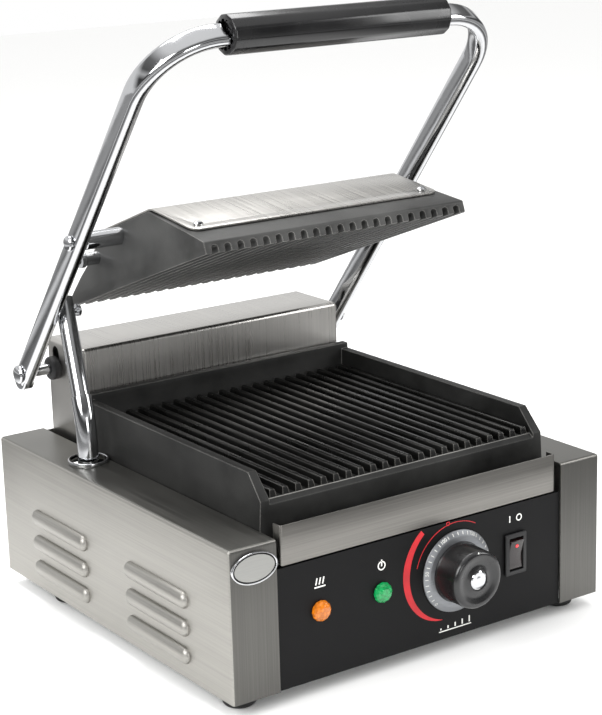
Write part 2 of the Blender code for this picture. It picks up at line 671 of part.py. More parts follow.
def badge(frame):
    """Blank oval plate on the left pillar."""
    width, height, thick = BADGE
    bm = bmesh.new()
    centre = Vector((-HALF + STRIP / 2, -TOUCH - thick / 2, CASE_TOP - BADGE_DROP))
    turn = Matrix.Rotation(math.radians(90), 4, 'X')
    bmesh.ops.create_cone(bm, cap_ends=True, segments=28, radius1=width / 2, radius2=width / 2 - 0.0012,
                          depth=thick, matrix=turn)
    bmesh.ops.scale(bm, vec=(1, 1, height / width), verts=bm.verts)
    bmesh.ops.translate(bm, vec=centre, verts=bm.verts)
    finish("badge_blank", mesh_from(bm, "badge_blank", True), frame, CHROME)


def terminal_block(frame):
    floor = CASE_BOTTOM + SHEET + TOUCH
    low = Vector((*TERMINAL_LOW, floor))
    middle = low + Vector(TERMINAL_SIZE) / 2
    obj = box("terminal_block", low, low + Vector(TERMINAL_SIZE), frame, BLACK)
    bm = bmesh.new()
    for index in range(TERMINAL_WELLS):
        x = middle.x + (index - (TERMINAL_WELLS - 1) / 2) * TERMINAL_PITCH
        add_cylinder(bm, 0.0035, (x, middle.y, floor + 0.010), (x, middle.y, floor + 0.030), 12)
    wells = finish("terminal_wells", mesh_from(bm, "terminal_wells"), frame, cutter=True)
    return boolean(obj, wells, 'DIFFERENCE')


def drip_tray(tray_frame):
    """Shallow tray with a tall front strip, its ends folded back; slides out to the front."""
    half = STRIP_EDGE - TRAY_SIDE_GAP
    box_half = half - TRAY_BOX_INSET
    base = TRAY_BOTTOM + 0.0012
    obj = open_box("drip_tray", (-box_half, PANEL_FRONT + SHEET / 2, base),
                   (box_half, PANEL_FRONT + TRAY_LENGTH, base + TRAY_BOX_HEIGHT),
                   ('+Z',), tray_frame, STEEL, TRAY_WALL, bend=0.0)
    bm = bmesh.new()
    top = TRAY_BOTTOM + TRAY_FRONT_HEIGHT
    add_box(bm, (-half, PANEL_FRONT, TRAY_BOTTOM), (half, PANEL_FRONT + SHEET, top))
    strip = finish("tray_strip", mesh_from(bm, "tray_strip"), tray_frame, cutter=True)
    boolean(obj, strip, 'UNION')
    bm = bmesh.new()
    over_runner = TRAY_BOTTOM + TRAY_RUNNER_THICK + SLIDING
    for side in (-1, 1):
        ends = sorted((side * half, side * (half - SHEET)))
        add_box(bm, (ends[0], PANEL_FRONT, over_runner), (ends[1], PANEL_FRONT + TRAY_RETURN, top))
    returns = finish("tray_returns", mesh_from(bm, "tray_returns"), tray_frame, cutter=True)
    return boolean(obj, returns, 'UNION')


def tray_runner(name, side, frame):
    """Angle that carries one edge of the drip tray."""
    outer = STRIP_EDGE - 0.0012
    inner = STRIP_EDGE - TRAY_SIDE_GAP - 0.0100
    low = TRAY_BOTTOM
    start = PANEL_BACK + 0.002
    bm = bmesh.new()
    shelf = low + TRAY_RUNNER_THICK
    outline = [(outer, low), (outer, low + 0.010), (outer - 0.001, low + 0.010),
               (outer - 0.001, shelf), (inner, shelf), (inner, low)]
    verts = [bm.verts.new((side * x, start, z)) for x, z in outline]
    face = bm.faces.new(verts)
    grown = bmesh.ops.extrude_face_region(bm, geom=[face])["geom"]
    moved = [v for v in grown if isinstance(v, bmesh.types.BMVert)]
    bmesh.ops.translate(bm, verts=moved, vec=(0, TRAY_LENGTH, 0))
    finish(name, mesh_from(bm, name), frame, GALVANISED)


# ---------------------------------------------------------------- plates and elements
def rib_positions():
    first = -(RIB_COUNT - 1) * RIB_PITCH / 2
    return [first + RIB_PITCH * index for index in range(RIB_COUNT)]


def ribs_that_fit(half):
    return [x for x in rib_positions() if abs(x) + RIB_WIDTH / 2 < half]


def lower_plate(frame):
    """Cast tray with rims on three sides; the ribs end in steep noses above the front lip."""
    low = CASE_TOP - PLATE_SKIRT
    nose = CASE_TOP + PLATE_NOSE
    outline = [(PLATE_FRONT, low), (PLATE_FRONT, nose), (PLATE_FRONT + PLATE_FRONT_SLOPE, PLATE_TOP),
               (POCKET_REAR, PLATE_TOP), (POCKET_REAR, PLATE_TOP + REAR_WALL_EXTRA),
               (PLATE_REAR, PLATE_TOP + REAR_WALL_EXTRA), (PLATE_REAR, low)]
    bm = bmesh.new()
    prism(bm, outline, -PLATE_HALF, PLATE_HALF)
    for vert in bm.verts:
        if vert.co.z > CASE_TOP + 0.02:
            vert.co.x -= math.copysign(PLATE_DRAFT, vert.co.x)
    obj = finish("lower_plate", mesh_from(bm, "lower_plate"), frame, IRON)
    bevel(obj, PLATE_EDGE)
    floor = RIB_TOP_Z - RIB_HEIGHT
    lip = nose - PLATE_LIP_DROP
    feet = PLATE_FRONT + RIB_START
    pocket = [(0.0, lip), (PLATE_FRONT, lip), (feet, floor), (POCKET_REAR, floor),
              (POCKET_REAR, PLATE_TOP + 0.03), (0.0, PLATE_TOP + 0.03)]
    bm = bmesh.new()
    prism(bm, pocket, -POCKET_HALF, POCKET_HALF)
    boolean(obj, finish("lower_pocket", mesh_from(bm, "lower_pocket"), frame, cutter=True), 'DIFFERENCE')
    inset = PLATE_WALL + 0.001
    cavity = box("lower_cavity", (-PLATE_HALF + inset, PLATE_FRONT + inset, low - 0.01),
                 (PLATE_HALF - inset, PLATE_REAR - inset, floor - PLATE_WEB), frame, cutter=True)
    boolean(obj, cavity, 'DIFFERENCE')
    bm = bmesh.new()
    rear_end = POCKET_REAR - RIB_REAR_GAP
    rib = [(feet, floor - 0.002), (feet, floor), (feet + RIB_NOSE, RIB_TOP_Z),
           (rear_end, RIB_TOP_Z), (rear_end, floor - 0.002)]
    for x in ribs_that_fit(POCKET_HALF):
        for vert in prism(bm, rib, x - RIB_WIDTH / 2, x + RIB_WIDTH / 2):
            if vert.co.z > RIB_TOP_Z - 0.0001:
                vert.co.x += (x - vert.co.x) * RIB_TAPER
    boolean(obj, finish("lower_ribs", mesh_from(bm, "lower_ribs"), frame, cutter=True), 'UNION')
    return obj


def element_path(front, rear, z):
    """Hairpins side by side: straight runs joined by half-turns."""
    radius = ELEMENT_RUN_PITCH / 2
    xs = [(index - (ELEMENT_RUNS - 1) / 2) * ELEMENT_RUN_PITCH for index in range(ELEMENT_RUNS)]
    points = [(xs[0], rear + radius * 0.7, z)]
    for index, x in enumerate(xs):
        ahead = index % 2 == 0
        points.append((x, rear if ahead else front, z))
        points.append((x, front if ahead else rear, z))
        if index + 1 < len(xs):
            middle = (x + radius, front if ahead else rear)
            sweep = (180, 360) if ahead else (180, 0)
            turn = arc(middle, radius, sweep[0], sweep[1], 8)[1:-1]
            points += [(px, py, z) for px, py in turn]
    points.append((xs[-1], rear + radius * 0.7, z))
    return points


def lower_element(frame):
    top = RIB_TOP_Z - RIB_HEIGHT - PLATE_WEB
    z = top - TOUCH - ELEMENT_RADIUS
    front = PLATE_FRONT + 0.060
    rear = PLATE_REAR - 0.040
    swept("lower_heating_element", element_path(front, rear, z), ELEMENT_RADIUS, frame,
          ("element_sheath", (0.09, 0.08, 0.08), 0.5, 0.7))
    under = z - ELEMENT_RADIUS - TOUCH
    half = ELEMENT_RUN_PITCH * 2 - 0.008
    clamp = box("lower_clamp_plate", (-half, front - 0.028, under - CLAMP_THICK),
                (half, rear + 0.012, under), frame, GALVANISED)
    return bevel(clamp, 0.0004)


def upper_profile():
    """Side outline of the upper casting: (from its front edge, above its lowest face)."""
    rear_ridge = UPPER_DEPTH - UPPER_REAR_RIDGE
    return [(0.0, 0.0), (0.0, UPPER_EDGE), UPPER_SHOULDER, UPPER_RIDGE, (rear_ridge, UPPER_RIDGE[1]),
            (UPPER_DEPTH - UPPER_SHOULDER[0], UPPER_SHOULDER[1]), (UPPER_DEPTH, UPPER_EDGE),
            (UPPER_DEPTH, 0.0)]


def to_rod(point):
    """From the upper plate's own outline to the frame whose origin is the rods' axis."""
    return (point[0] - ROD_SETBACK, point[1] - ROD_HEIGHT)


def upper_plate(plate_frame):
    """Ribbed casting with gable sides, open on top for the element."""
    bm = bmesh.new()
    prism(bm, [to_rod(p) for p in upper_profile()], -UPPER_HALF, UPPER_HALF)
    edge = UPPER_EDGE - ROD_HEIGHT
    tall = UPPER_RIDGE[1] - UPPER_EDGE
    for vert in bm.verts:
        if vert.co.z > edge + 0.001:
            vert.co.x -= math.copysign(UPPER_LEAN * (vert.co.z - edge) / tall, vert.co.x)
    obj = finish("upper_plate", mesh_from(bm, "upper_plate"), plate_frame, IRON)
    bevel(obj, 0.0008)
    y_low, z_low = to_rod((UPPER_SHOULDER[0] + 0.002, RIB_HEIGHT + PLATE_WEB))
    y_high = UPPER_DEPTH - UPPER_SHOULDER[0] - 0.002 - ROD_SETBACK
    half = UPPER_HALF - UPPER_WALL
    cavity = box("upper_cavity", (-half, y_low, z_low), (half, y_high, 0.03), plate_frame, cutter=True)
    boolean(obj, cavity, 'DIFFERENCE')
    bm = bmesh.new()
    y0, z0 = to_rod((-0.01, -0.01))
    y1, z1 = to_rod((UPPER_DEPTH + 0.01, RIB_HEIGHT))
    for x in ribs_that_fit(UPPER_HALF)[:-1]:
        middle = x + RIB_PITCH / 2
        wide = (RIB_PITCH - RIB_WIDTH) / 2
        verts = add_box(bm, (middle - wide, y0, z0), (middle + wide, y1, z1))
        for vert in verts:
            if vert.co.z > z1 - 0.001:
                vert.co.x = middle + (vert.co.x - middle) * (1 - RIB_TAPER)
    grooves = finish("upper_grooves", mesh_from(bm, "upper_grooves"), plate_frame, cutter=True)
    boolean(obj, grooves, 'DIFFERENCE')
    bm = bmesh.new()
    add_cylinder(bm, ROD_RADIUS + RUNNING, (-UPPER_HALF - 0.02, 0, 0), (UPPER_HALF + 0.02, 0, 0), 28)
    add_cylinder(bm, LEAD_BUSH_RADIUS + TOUCH, (-UPPER_HALF - 0.02, LEAD_BUSH_BACK, -LEAD_BUSH_DROP),
                 (-half + 0.01, LEAD_BUSH_BACK, -LEAD_BUSH_DROP), 20)
    bores = finish("upper_bores", mesh_from(bm, "upper_bores"), plate_frame, cutter=True)
    return boolean(obj, bores, 'DIFFERENCE')


def cover_screws(plate_frame):
    """Four small screws at the low corners of the upper cover: name, place and outward normal."""
    rise = Vector((UPPER_RIDGE[0] - UPPER_SHOULDER[0], UPPER_RIDGE[1] - UPPER_SHOULDER[1]))
    back = Vector((UPPER_REAR_RIDGE - UPPER_SHOULDER[0], UPPER_RIDGE[1] - UPPER_SHOULDER[1]))
    places = []
    for end, slope, along in (("front", rise, 1), ("rear", back, -1)):
        unit = slope.normalized()
        y = UPPER_SHOULDER[0] + unit.x * 0.008
        z = UPPER_SHOULDER[1] + unit.y * 0.008
        if along < 0:
            y = UPPER_DEPTH - y
        y_rod, z_rod = to_rod((y, z))
        normal = Vector((0, -unit.y * along, unit.x))
        for side, word in ((-1, "left"), (1, "right")):
            spot = Vector((side * (UPPER_HALF - 0.014), y_rod, z_rod))
            places.append(("cover_screw_" + end + "_" + word, spot, normal))
    return places


def upper_cover(plate_frame):
    """Brushed sheet folded over the casting's gables."""
    lift = TOUCH
    half = UPPER_HALF - 0.0050
    rear_ridge = UPPER_DEPTH - UPPER_REAR_RIDGE
    line = [(UPPER_SHOULDER[0] - 0.0005, UPPER_SHOULDER[1] + lift),
            (UPPER_RIDGE[0], UPPER_RIDGE[1] + lift), (rear_ridge, UPPER_RIDGE[1] + lift),
            (UPPER_DEPTH - UPPER_SHOULDER[0] + 0.0005, UPPER_SHOULDER[1] + lift)]
    bm = bmesh.new()
    rows = [[bm.verts.new((x, *to_rod(p))) for x in (-half, half)] for p in line]
    for lower, upper in zip(rows, rows[1:]):
        bm.faces.new((lower[0], lower[1], upper[1], upper[0]))
    mesh = bpy.data.meshes.new("upper_cover")
    bm.to_mesh(mesh)
    bm.free()
    obj = finish("upper_cover", mesh, plate_frame, STEEL)
    solidify(obj, SHEET, offset=1.0)
    bm = bmesh.new()
    for _, spot, normal in cover_screws(plate_frame):
        add_cylinder(bm, SCREW_SHANK + SCREW_CLEARANCE, spot - normal * 0.01,
                     spot + normal * 0.01, 12)
    holes = finish("cover_holes", mesh_from(bm, "cover_holes"), plate_frame, cutter=True)
    boolean(obj, holes, 'DIFFERENCE')
    for name, spot, normal in cover_screws(plate_frame):
        screw_head(name, spot + normal * (SHEET + 2 * TOUCH), normal, plate_frame)


def screw_head(name, spot, normal, parent):
    """Domed head on the cover and its shank down through the sheet, along the normal."""
    low = -SHEET - TOUCH
    profile = [(0.0, 0.0020), (SCREW_RADIUS * 0.6, 0.0020), (SCREW_RADIUS, 0.0010),
               (SCREW_RADIUS, 0.0), (SCREW_SHANK, 0.0), (SCREW_SHANK, low), (0.0, low)]
    turned(name, profile, parent, CHROME, spot, normal, 16)


def upper_element(plate_frame):
    y_front, z = to_rod((0.055, RIB_HEIGHT + PLATE_WEB + TOUCH + ELEMENT_RADIUS))
    y_rear = UPPER_DEPTH - 0.055 - ROD_SETBACK
    swept("upper_heating_element", element_path(y_front, y_rear, z), ELEMENT_RADIUS, plate_frame,
          ("element_sheath", (0.09, 0.08, 0.08), 0.5, 0.7))
    over = z + ELEMENT_RADIUS + TOUCH
    half = UPPER_HALF - UPPER_WALL - 0.006
    clamp = box("upper_clamp_plate", (-half, y_front - 0.028, over),
                (half, y_rear + 0.010, over + CLAMP_THICK), plate_frame, GALVANISED)
    bevel(clamp, 0.0004)
    wall = UPPER_HALF - UPPER_WALL
    profile = [(0.0028, 0.0), (LEAD_BUSH_RADIUS + 0.0010, 0.0), (LEAD_BUSH_RADIUS + 0.0010, -0.003),
               (LEAD_BUSH_RADIUS, -0.004), (LEAD_BUSH_RADIUS, -0.021), (0.0028, -0.021)]
    turned("lead_bush", profile, plate_frame, CHROME,
           (-wall - 0.022, LEAD_BUSH_BACK, -LEAD_BUSH_DROP), '-X', 20)


# ---------------------------------------------------------------- rear cover and hinge
def rear_cover(frame):
    """Sheet box over the hinge, with an assembly slot above each bush."""
    half = STRIP_EDGE - COVER_INSET
    rear = DEPTH - 0.0006 - SHEET - TOUCH
    obj = open_box("rear_cover", (-half, rear - COVER_DEPTH, CASE_TOP - COVER_SINK),
                   (half, rear, CASE_TOP + COVER_HEIGHT), ('-Z',), frame, STEEL, SHEET)
    bm = bmesh.new()
    slot_half = PIVOT_RADIUS + 0.0006
    for side in (-1, 1):
        x = side * half
        add_cylinder(bm, BUSH_RADIUS + TOUCH, (x - 0.01, PIVOT_Y, PIVOT_Z),
                     (x + 0.01, PIVOT_Y, PIVOT_Z), 24)
    cut = finish("bush_holes", mesh_from(bm, "bush_holes"), frame, cutter=True)
    boolean(obj, cut, 'DIFFERENCE')
    bm = bmesh.new()
    for side in (-1, 1):
        x = side * half
        add_box(bm, (x - 0.01, PIVOT_Y - slot_half, PIVOT_Z),
                (x + 0.01, PIVOT_Y + slot_half, PIVOT_Z + SLOT_HEIGHT))
    cut = finish("assembly_slots", mesh_from(bm, "assembly_slots"), frame, cutter=True)
    boolean(obj, cut, 'DIFFERENCE')
    for side, word in ((-1, "left"), (1, "right")):
        bore = PIVOT_RADIUS + RUNNING
        profile = [(bore, 0.0060), (BUSH_FLANGE, 0.0060), (BUSH_FLANGE, TOUCH), (BUSH_RADIUS, TOUCH),
                   (BUSH_RADIUS, -0.0070), (bore, -0.0070)]
        turned("pivot_bush_" + word, profile, frame, BLACK, (side * half, PIVOT_Y, PIVOT_Z),
               '+X' if side > 0 else '-X', 24)
    return half


def torsion_spring(name, side, cover_half, frame):
    """Coil round the hinge shaft that carries the weight of the upper plate."""
    per_turn = 8
    count = SPRING_TURNS * per_turn
    start = cover_half - 0.014
    pitch = SPRING_WIRE * 2 + 0.0006
    points = []
    for index in range(count + 1):
        angle = 2 * math.pi * index / per_turn
        x = side * (start - pitch * index / per_turn)
        points.append((x, PIVOT_Y + SPRING_RADIUS * math.cos(angle),
                       PIVOT_Z + SPRING_RADIUS * math.sin(angle)))
    leg = Vector(points[0])
    points.insert(0, tuple(leg + Vector((0, 0.0, -0.030))))
    swept(name, points, SPRING_WIRE, frame, GALVANISED, sides_level=1)


def hinge_shaft(handle_frame):
    reach = ARM_INNER - TOUCH
    rod("pivot_shaft", PIVOT_RADIUS, (-reach, 0, 0), (reach, 0, 0), handle_frame, CHROME)
    for side, word in ((-1, "left"), (1, "right")):
        length = ARM_THICK + TOUCH
        profile = [(0.0, 0.0036), (0.0034, 0.0036), (0.0060, 0.0026), (0.0066, TOUCH),
                   (ROD_SHANK, TOUCH), (ROD_SHANK, -length), (0.0, -length)]
        turned("pivot_bolt_" + word, profile, handle_frame, CHROME,
               (side * (ARM_X + ARM_THICK / 2), 0, 0), '+X' if side > 0 else '-X', 20)


# ---------------------------------------------------------------- handle
def stadium_curve():
    """Section of the flat-oval tube, broad across the arm."""
    curve = bpy.data.curves.new("arm_section", 'CURVE')
    curve.dimensions = '2D'
    radius = ARM_THICK / 2
    straight = (ARM_BROAD - ARM_THICK) / 2
    ends = arc((0.0, straight), radius, 0, 180, 6) + arc((0.0, -straight), radius, 180, 360, 6)
    spline = curve.splines.new('POLY')
    spline.points.add(len(ends) - 1)
    for index, (x, y) in enumerate(ends):
        spline.points[index].co = (x, y, 0, 1)
    spline.use_cyclic_u = True
    section = bpy.data.objects.new("arm_section", curve)
    cutters.objects.link(section)
    section.hide_render = True
    section.display_type = 'WIRE'
    return section


def handle_tube(handle_frame):
    """One flat-oval tube bent into a U; its two ends turn on the hinge shaft."""
    bend = arc((ARM_X - HANDLE_BEND, GRIP_DISTANCE - HANDLE_BEND), HANDLE_BEND, 0, 90, 8)
    right = [(ARM_X, -ARM_TAIL)] + bend
    outline = right + [(-x, y) for x, y in reversed(right)]
    curve = bpy.data.curves.new("handle_tube", 'CURVE')
    curve.dimensions = '3D'
    spline = curve.splines.new('POLY')
    spline.points.add(len(outline) - 1)
    for index, (x, distance) in enumerate(outline):
        spline.points[index].co = (x, -distance, 0, 1)
    curve.bevel_mode = 'OBJECT'
    curve.bevel_object = stadium_curve()
    curve.use_fill_caps = True
    mesh = curve_mesh(curve, "handle_tube")
    mesh.shade_smooth()
    mesh.set_sharp_from_angle(angle=math.radians(40))
    obj = finish("handle_tube", mesh, handle_frame, CHROME)
    bm = bmesh.new()
    for side in (-1, 1):
        x0 = side * ARM_X - ARM_THICK / 2
        add_cylinder(bm, ARM_BROAD / 2, (x0 + 0.0008, ARM_TAIL, 0),
                     (x0 + ARM_THICK - 0.0008, ARM_TAIL, 0), 20)
    boolean(obj, finish("arm_ends", mesh_from(bm, "arm_ends"), handle_frame, cutter=True), 'UNION')
    bm = bmesh.new()
    for side in (-1, 1):
        x = side * ARM_X
        for distance in (0.0, ROD_DISTANCE):
            add_cylinder(bm, ROD_SHANK + TOUCH, (x - 0.02, -distance, 0),
                         (x + 0.02, -distance, 0), 16)
    x = -ARM_INNER
    add_cylinder(bm, BOLT_RADIUS + TOUCH, (x - 0.006, -CONDUIT_DISTANCE, 0),
                 (x + 0.01, -CONDUIT_DISTANCE, 0), 14)
    holes = finish("arm_holes", mesh_from(bm, "arm_holes"), handle_frame, cutter=True)
    boolean(obj, holes, 'DIFFERENCE')


def grip(handle_frame):
    """Moulded sleeve round the cross bar, chamfered at both ends."""
    half = GRIP_LENGTH / 2
    bm = bmesh.new()
    y = -GRIP_DISTANCE
    add_cylinder(bm, GRIP_RADIUS, (-half + 0.004, y, 0), (half - 0.004, y, 0), 24)
    obj = finish("grip", mesh_from(bm, "grip", True), handle_frame, RUBBER)
    for side, word in ((-1, "left"), (1, "right")):
        bm = bmesh.new()
        add_cylinder(bm, GRIP_RADIUS, (side * (half - 0.005), y, 0), (side * half, y, 0), 24,
                     GRIP_RADIUS - 0.002)
        end = finish("grip_end_" + word, mesh_from(bm, "end"), handle_frame, cutter=True)
        boolean(obj, end, 'UNION')
    gap = 0.0004
    bm = bmesh.new()
    add_box(bm, (-half - 0.01, y - ARM_THICK / 2 - gap, -ARM_BROAD / 2 - gap),
            (half + 0.01, y + ARM_THICK / 2 + gap, ARM_BROAD / 2 + gap))
    bore = finish("grip_bore", mesh_from(bm, "grip_bore"), handle_frame, cutter=True)
    return boolean(obj, bore, 'DIFFERENCE')


def plate_rods(handle_frame):
    """Rods from the arms into the upper plate's side walls, each with a cap outside."""
    inner = UPPER_HALF - UPPER_WALL - 0.003
    for side, word in ((-1, "left"), (1, "right")):
        arm_half = ARM_THICK / 2
        end = inner - ARM_X
        profile = [(0.0, arm_half), (ROD_SHANK, arm_half), (ROD_SHANK, -arm_half - TOUCH),
                   (ROD_RADIUS, -arm_half - TOUCH), (ROD_RADIUS, end + 0.001),
                   (ROD_RADIUS - 0.001, end), (0.0, end)]
        where = '+X' if side > 0 else '-X'
        turned("plate_rod_" + word, profile, handle_frame, CHROME,
               (side * ARM_X, -ROD_DISTANCE, 0), where, 28)
        outside = ARM_X + arm_half
        cap = [(0.0, ROD_CAP_LENGTH), (ROD_CAP_RADIUS * 0.6, ROD_CAP_LENGTH),
               (ROD_CAP_RADIUS, ROD_CAP_LENGTH * 0.6), (ROD_CAP_RADIUS, TOUCH), (0.0, TOUCH)]
        turned("rod_cap_" + word, cap, handle_frame, CHROME,
               (side * outside, -ROD_DISTANCE, 0), where, 20)


def conduit_route():
    """Straight up through the casing, then leaning back to its bolt; from the bolt's centre."""
    bolt_y = PIVOT_Y - CONDUIT_DISTANCE * math.cos(ARM_ANGLE)
    bolt_z = PIVOT_Z + CONDUIT_DISTANCE * math.sin(ARM_ANGLE)
    origin = Vector((CONDUIT_TOP_X, bolt_y, bolt_z))
    kink = Vector((CONDUIT_X, CONDUIT_Y, CASE_TOP + CONDUIT_KINK))
    foot_end = Vector((CONDUIT_X, CONDUIT_Y, CASE_TOP - CONDUIT_BELOW))
    lean = origin - kink
    top = origin + lean.normalized() * 0.010
    before = kink + Vector((0, 0, -CONDUIT_BEND))
    after = kink + lean.normalized() * CONDUIT_BEND
    bend = []
    for index in range(6):
        t = index / 5
        bend.append(before * (1 - t) ** 2 + kink * 2 * t * (1 - t) + after * t ** 2)
    level = origin - lean * 0.30
    return [point - origin for point in [foot_end] + bend + [level, origin, top]]


def lead_conduit(conduit_frame, handle_frame, frame):
    mesh_points = conduit_route()
    obj = swept("lead_conduit", mesh_points, CONDUIT_RADIUS, conduit_frame, CHROME,
                caps=False, sides_level=3)
    solidify(obj, CONDUIT_WALL)
    hole = rod("conduit_cross_hole", BOLT_RADIUS + 2 * RUNNING, (-0.02, 0, 0), (0.02, 0, 0),
               conduit_frame, cutter=True, sides=16)
    boolean(obj, hole, 'DIFFERENCE')
    ring = [(CONDUIT_OPENING, ESCUTCHEON_HEIGHT), (ESCUTCHEON_RADIUS - 0.0006, ESCUTCHEON_HEIGHT),
            (ESCUTCHEON_RADIUS, ESCUTCHEON_HEIGHT - 0.0012), (ESCUTCHEON_RADIUS, TOUCH),
            (CONDUIT_OPENING, TOUCH)]
    turned("conduit_escutcheon", ring, frame, CHROME, (CONDUIT_X, CONDUIT_Y, CASE_TOP), 'Z', 28)
    inside = CONDUIT_TOP_X + CONDUIT_RADIUS + CONDUIT_LEAN * BOLT_HEAD + 2 * TOUCH
    length = inside + ARM_INNER + 0.005
    bolt = [(0.0, 0.0026), (BOLT_HEAD * 0.7, 0.0026), (BOLT_HEAD, 0.0018), (BOLT_HEAD, 0.0),
            (BOLT_RADIUS, 0.0), (BOLT_RADIUS, -length), (0.0, -length)]
    turned("conduit_bolt", bolt, handle_frame, CHROME, (inside, -CONDUIT_DISTANCE, 0), '+X', 16)


# ---------------------------------------------------------------- assembly
def build():
    frame = frame_empty("grill_base", (0, -Y_MIDDLE, 0))
    knob_frame = frame_empty("knob_axis", (KNOB_X, PANEL_FRONT, CONTROL_Z), frame)
    rocker_frame = frame_empty("rocker_axis", (SWITCH_X, PANEL_FRONT - TOUCH + 0.0012, CONTROL_Z), frame)
    tray_frame = frame_empty("tray_slide", (0, 0, 0), frame)
    handle_frame = frame_empty("handle_axis", (0, PIVOT_Y, PIVOT_Z), frame, -ARM_ANGLE)
    plate_frame = frame_empty("plate_axis", (0, -ROD_DISTANCE, 0), handle_frame, ARM_ANGLE - UPPER_TILT)
    conduit_frame = frame_empty("conduit_axis", (CONDUIT_TOP_X, -CONDUIT_DISTANCE, 0),
                                handle_frame, ARM_ANGLE)

    side_casing("left_side_casing", -1, frame)
    side_casing("right_side_casing", 1, frame)
    base_pan(frame)
    rear_panel(frame)
    cable_gland(frame)
    control_panel(frame)
    indicator("hot_lamp", HOT_LAMP_X, (0.9, 0.35, 0.02), frame)
    indicator("power_lamp", POWER_LAMP_X, (0.02, 0.45, 0.12), frame)
    thermostat(frame, knob_frame)
    dial(knob_frame)
    rocker_switch(frame, rocker_frame)
    for end, y in (("front", FOOT_INSET_FRONT), ("rear", DEPTH - FOOT_INSET_REAR)):
        for word, side in (("left", -1), ("right", 1)):
            foot("foot_" + end + "_" + word, side * (HALF - FOOT_INSET_X), y, frame)
    badge(frame)
    terminal_block(frame)
    drip_tray(tray_frame)
    tray_runner("tray_runner_left", -1, frame)
    tray_runner("tray_runner_right", 1, frame)
    lower_plate(frame)
    lower_element(frame)
    cover_half = rear_cover(frame)
    torsion_spring("torsion_spring_left", -1, cover_half, frame)
    torsion_spring("torsion_spring_right", 1, cover_half, frame)
    hinge_shaft(handle_frame)
    handle_tube(handle_frame)
    grip(handle_frame)
    plate_rods(handle_frame)
    lead_conduit(conduit_frame, handle_frame, frame)
    upper_plate(plate_frame)
    upper_cover(plate_frame)
    upper_element(plate_frame)
    bpy.context.view_layer.update()


clear_scene()
parts = new_collection("contact_grill")
cutters = new_collection("cutters")
build()
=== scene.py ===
# %% [markdown]
# # A contact grill, dressed in steel, chrome and cast iron
#
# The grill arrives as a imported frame: plain solids, each on the body it moves with. This lesson gives every one of
# them the finish of the real thing. Sheet metal gets its folds and pressed louvres, the castings get their rounded
# ribs, and the panel gets its dial. Nothing here moves or resizes the frame, so the joints still fit.

# %% Load the frame
import math

import bmesh
import bpy
from mathutils import Matrix, Vector


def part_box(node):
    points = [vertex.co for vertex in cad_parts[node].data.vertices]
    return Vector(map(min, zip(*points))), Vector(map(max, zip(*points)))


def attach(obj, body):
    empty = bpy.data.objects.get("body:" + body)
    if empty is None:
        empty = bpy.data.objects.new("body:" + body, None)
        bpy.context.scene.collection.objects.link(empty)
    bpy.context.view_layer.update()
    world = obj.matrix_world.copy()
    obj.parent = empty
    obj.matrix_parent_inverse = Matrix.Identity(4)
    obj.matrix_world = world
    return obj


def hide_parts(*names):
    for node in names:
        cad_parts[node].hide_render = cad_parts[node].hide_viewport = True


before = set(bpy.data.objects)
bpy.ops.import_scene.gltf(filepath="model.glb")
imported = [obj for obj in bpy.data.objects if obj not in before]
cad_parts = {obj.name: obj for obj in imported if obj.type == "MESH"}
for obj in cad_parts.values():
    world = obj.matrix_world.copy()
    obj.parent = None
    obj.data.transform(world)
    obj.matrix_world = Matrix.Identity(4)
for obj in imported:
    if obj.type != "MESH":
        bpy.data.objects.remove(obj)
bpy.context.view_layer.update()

MM = 0.001

# %% [markdown]
# ## The camera and the light
#
# A long lens from the front left, a little above the grill, keeps the upright lines nearly parallel.
# The camera is set by its bearing, its height angle and its distance, so each number means something.

# %% The camera
AIM = Vector((-0.0150, -0.0300, 0.1850))
BEARING = math.radians(-34.58)
HEIGHT_ANGLE = math.radians(14.96)
ROLL = math.radians(-1.584)
EYE = Vector((-0.7273, -1.0644, 0.5186))

eye_data = bpy.data.cameras.new("studio_camera")
eye = bpy.data.objects.new("studio_camera", eye_data)
bpy.context.scene.collection.objects.link(eye)
back = Vector((math.sin(BEARING) * math.cos(HEIGHT_ANGLE),
               -math.cos(BEARING) * math.cos(HEIGHT_ANGLE),
               math.sin(HEIGHT_ANGLE)))
across = Vector((0, 0, 1)).cross(back).normalized()
upward = back.cross(across)
right = across * math.cos(ROLL) + upward * math.sin(ROLL)
top = upward * math.cos(ROLL) - across * math.sin(ROLL)
eye.matrix_world = Matrix((
    (right.x, top.x, back.x, EYE.x),
    (right.y, top.y, back.y, EYE.y),
    (right.z, top.z, back.z, EYE.z),
    (0, 0, 0, 1)))
eye_data.lens = 97.71
eye_data.sensor_width = 36.0
eye_data.sensor_fit = 'AUTO'
bpy.context.scene.camera = eye
print("camera at", [round(v, 3) for v in EYE])

# %% [markdown]
# ## Small helpers
#
# Colours are written as the hex values a painter would pick, and turned to the linear light that the renderer
# counts in. One function adds a node: its settings are plain values, and a pair (node, socket) is a link.

# %% Colour and nodes
def colour(hex_value):
    """sRGB hex to linear red, green, blue, alpha."""
    parts = [int(hex_value[i:i + 2], 16) / 255 for i in (1, 3, 5)]
    linear = [c / 12.92 if c <= 0.04045 else ((c + 0.055) / 1.055) ** 2.4 for c in parts]
    return (*linear, 1.0)


def add(tree, kind, sockets=None, **settings):
    """Adds one node, sets its settings, and fills its sockets with values or with links."""
    made = tree.nodes.new(kind)
    for key, value in settings.items():
        setattr(made, key, value)
    for key, value in (sockets or {}).items():
        if isinstance(value, tuple) and isinstance(value[0], bpy.types.Node):
            tree.links.new(value[0].outputs[value[1]], made.inputs[key])
        else:
            made.inputs[key].default_value = value
    return made


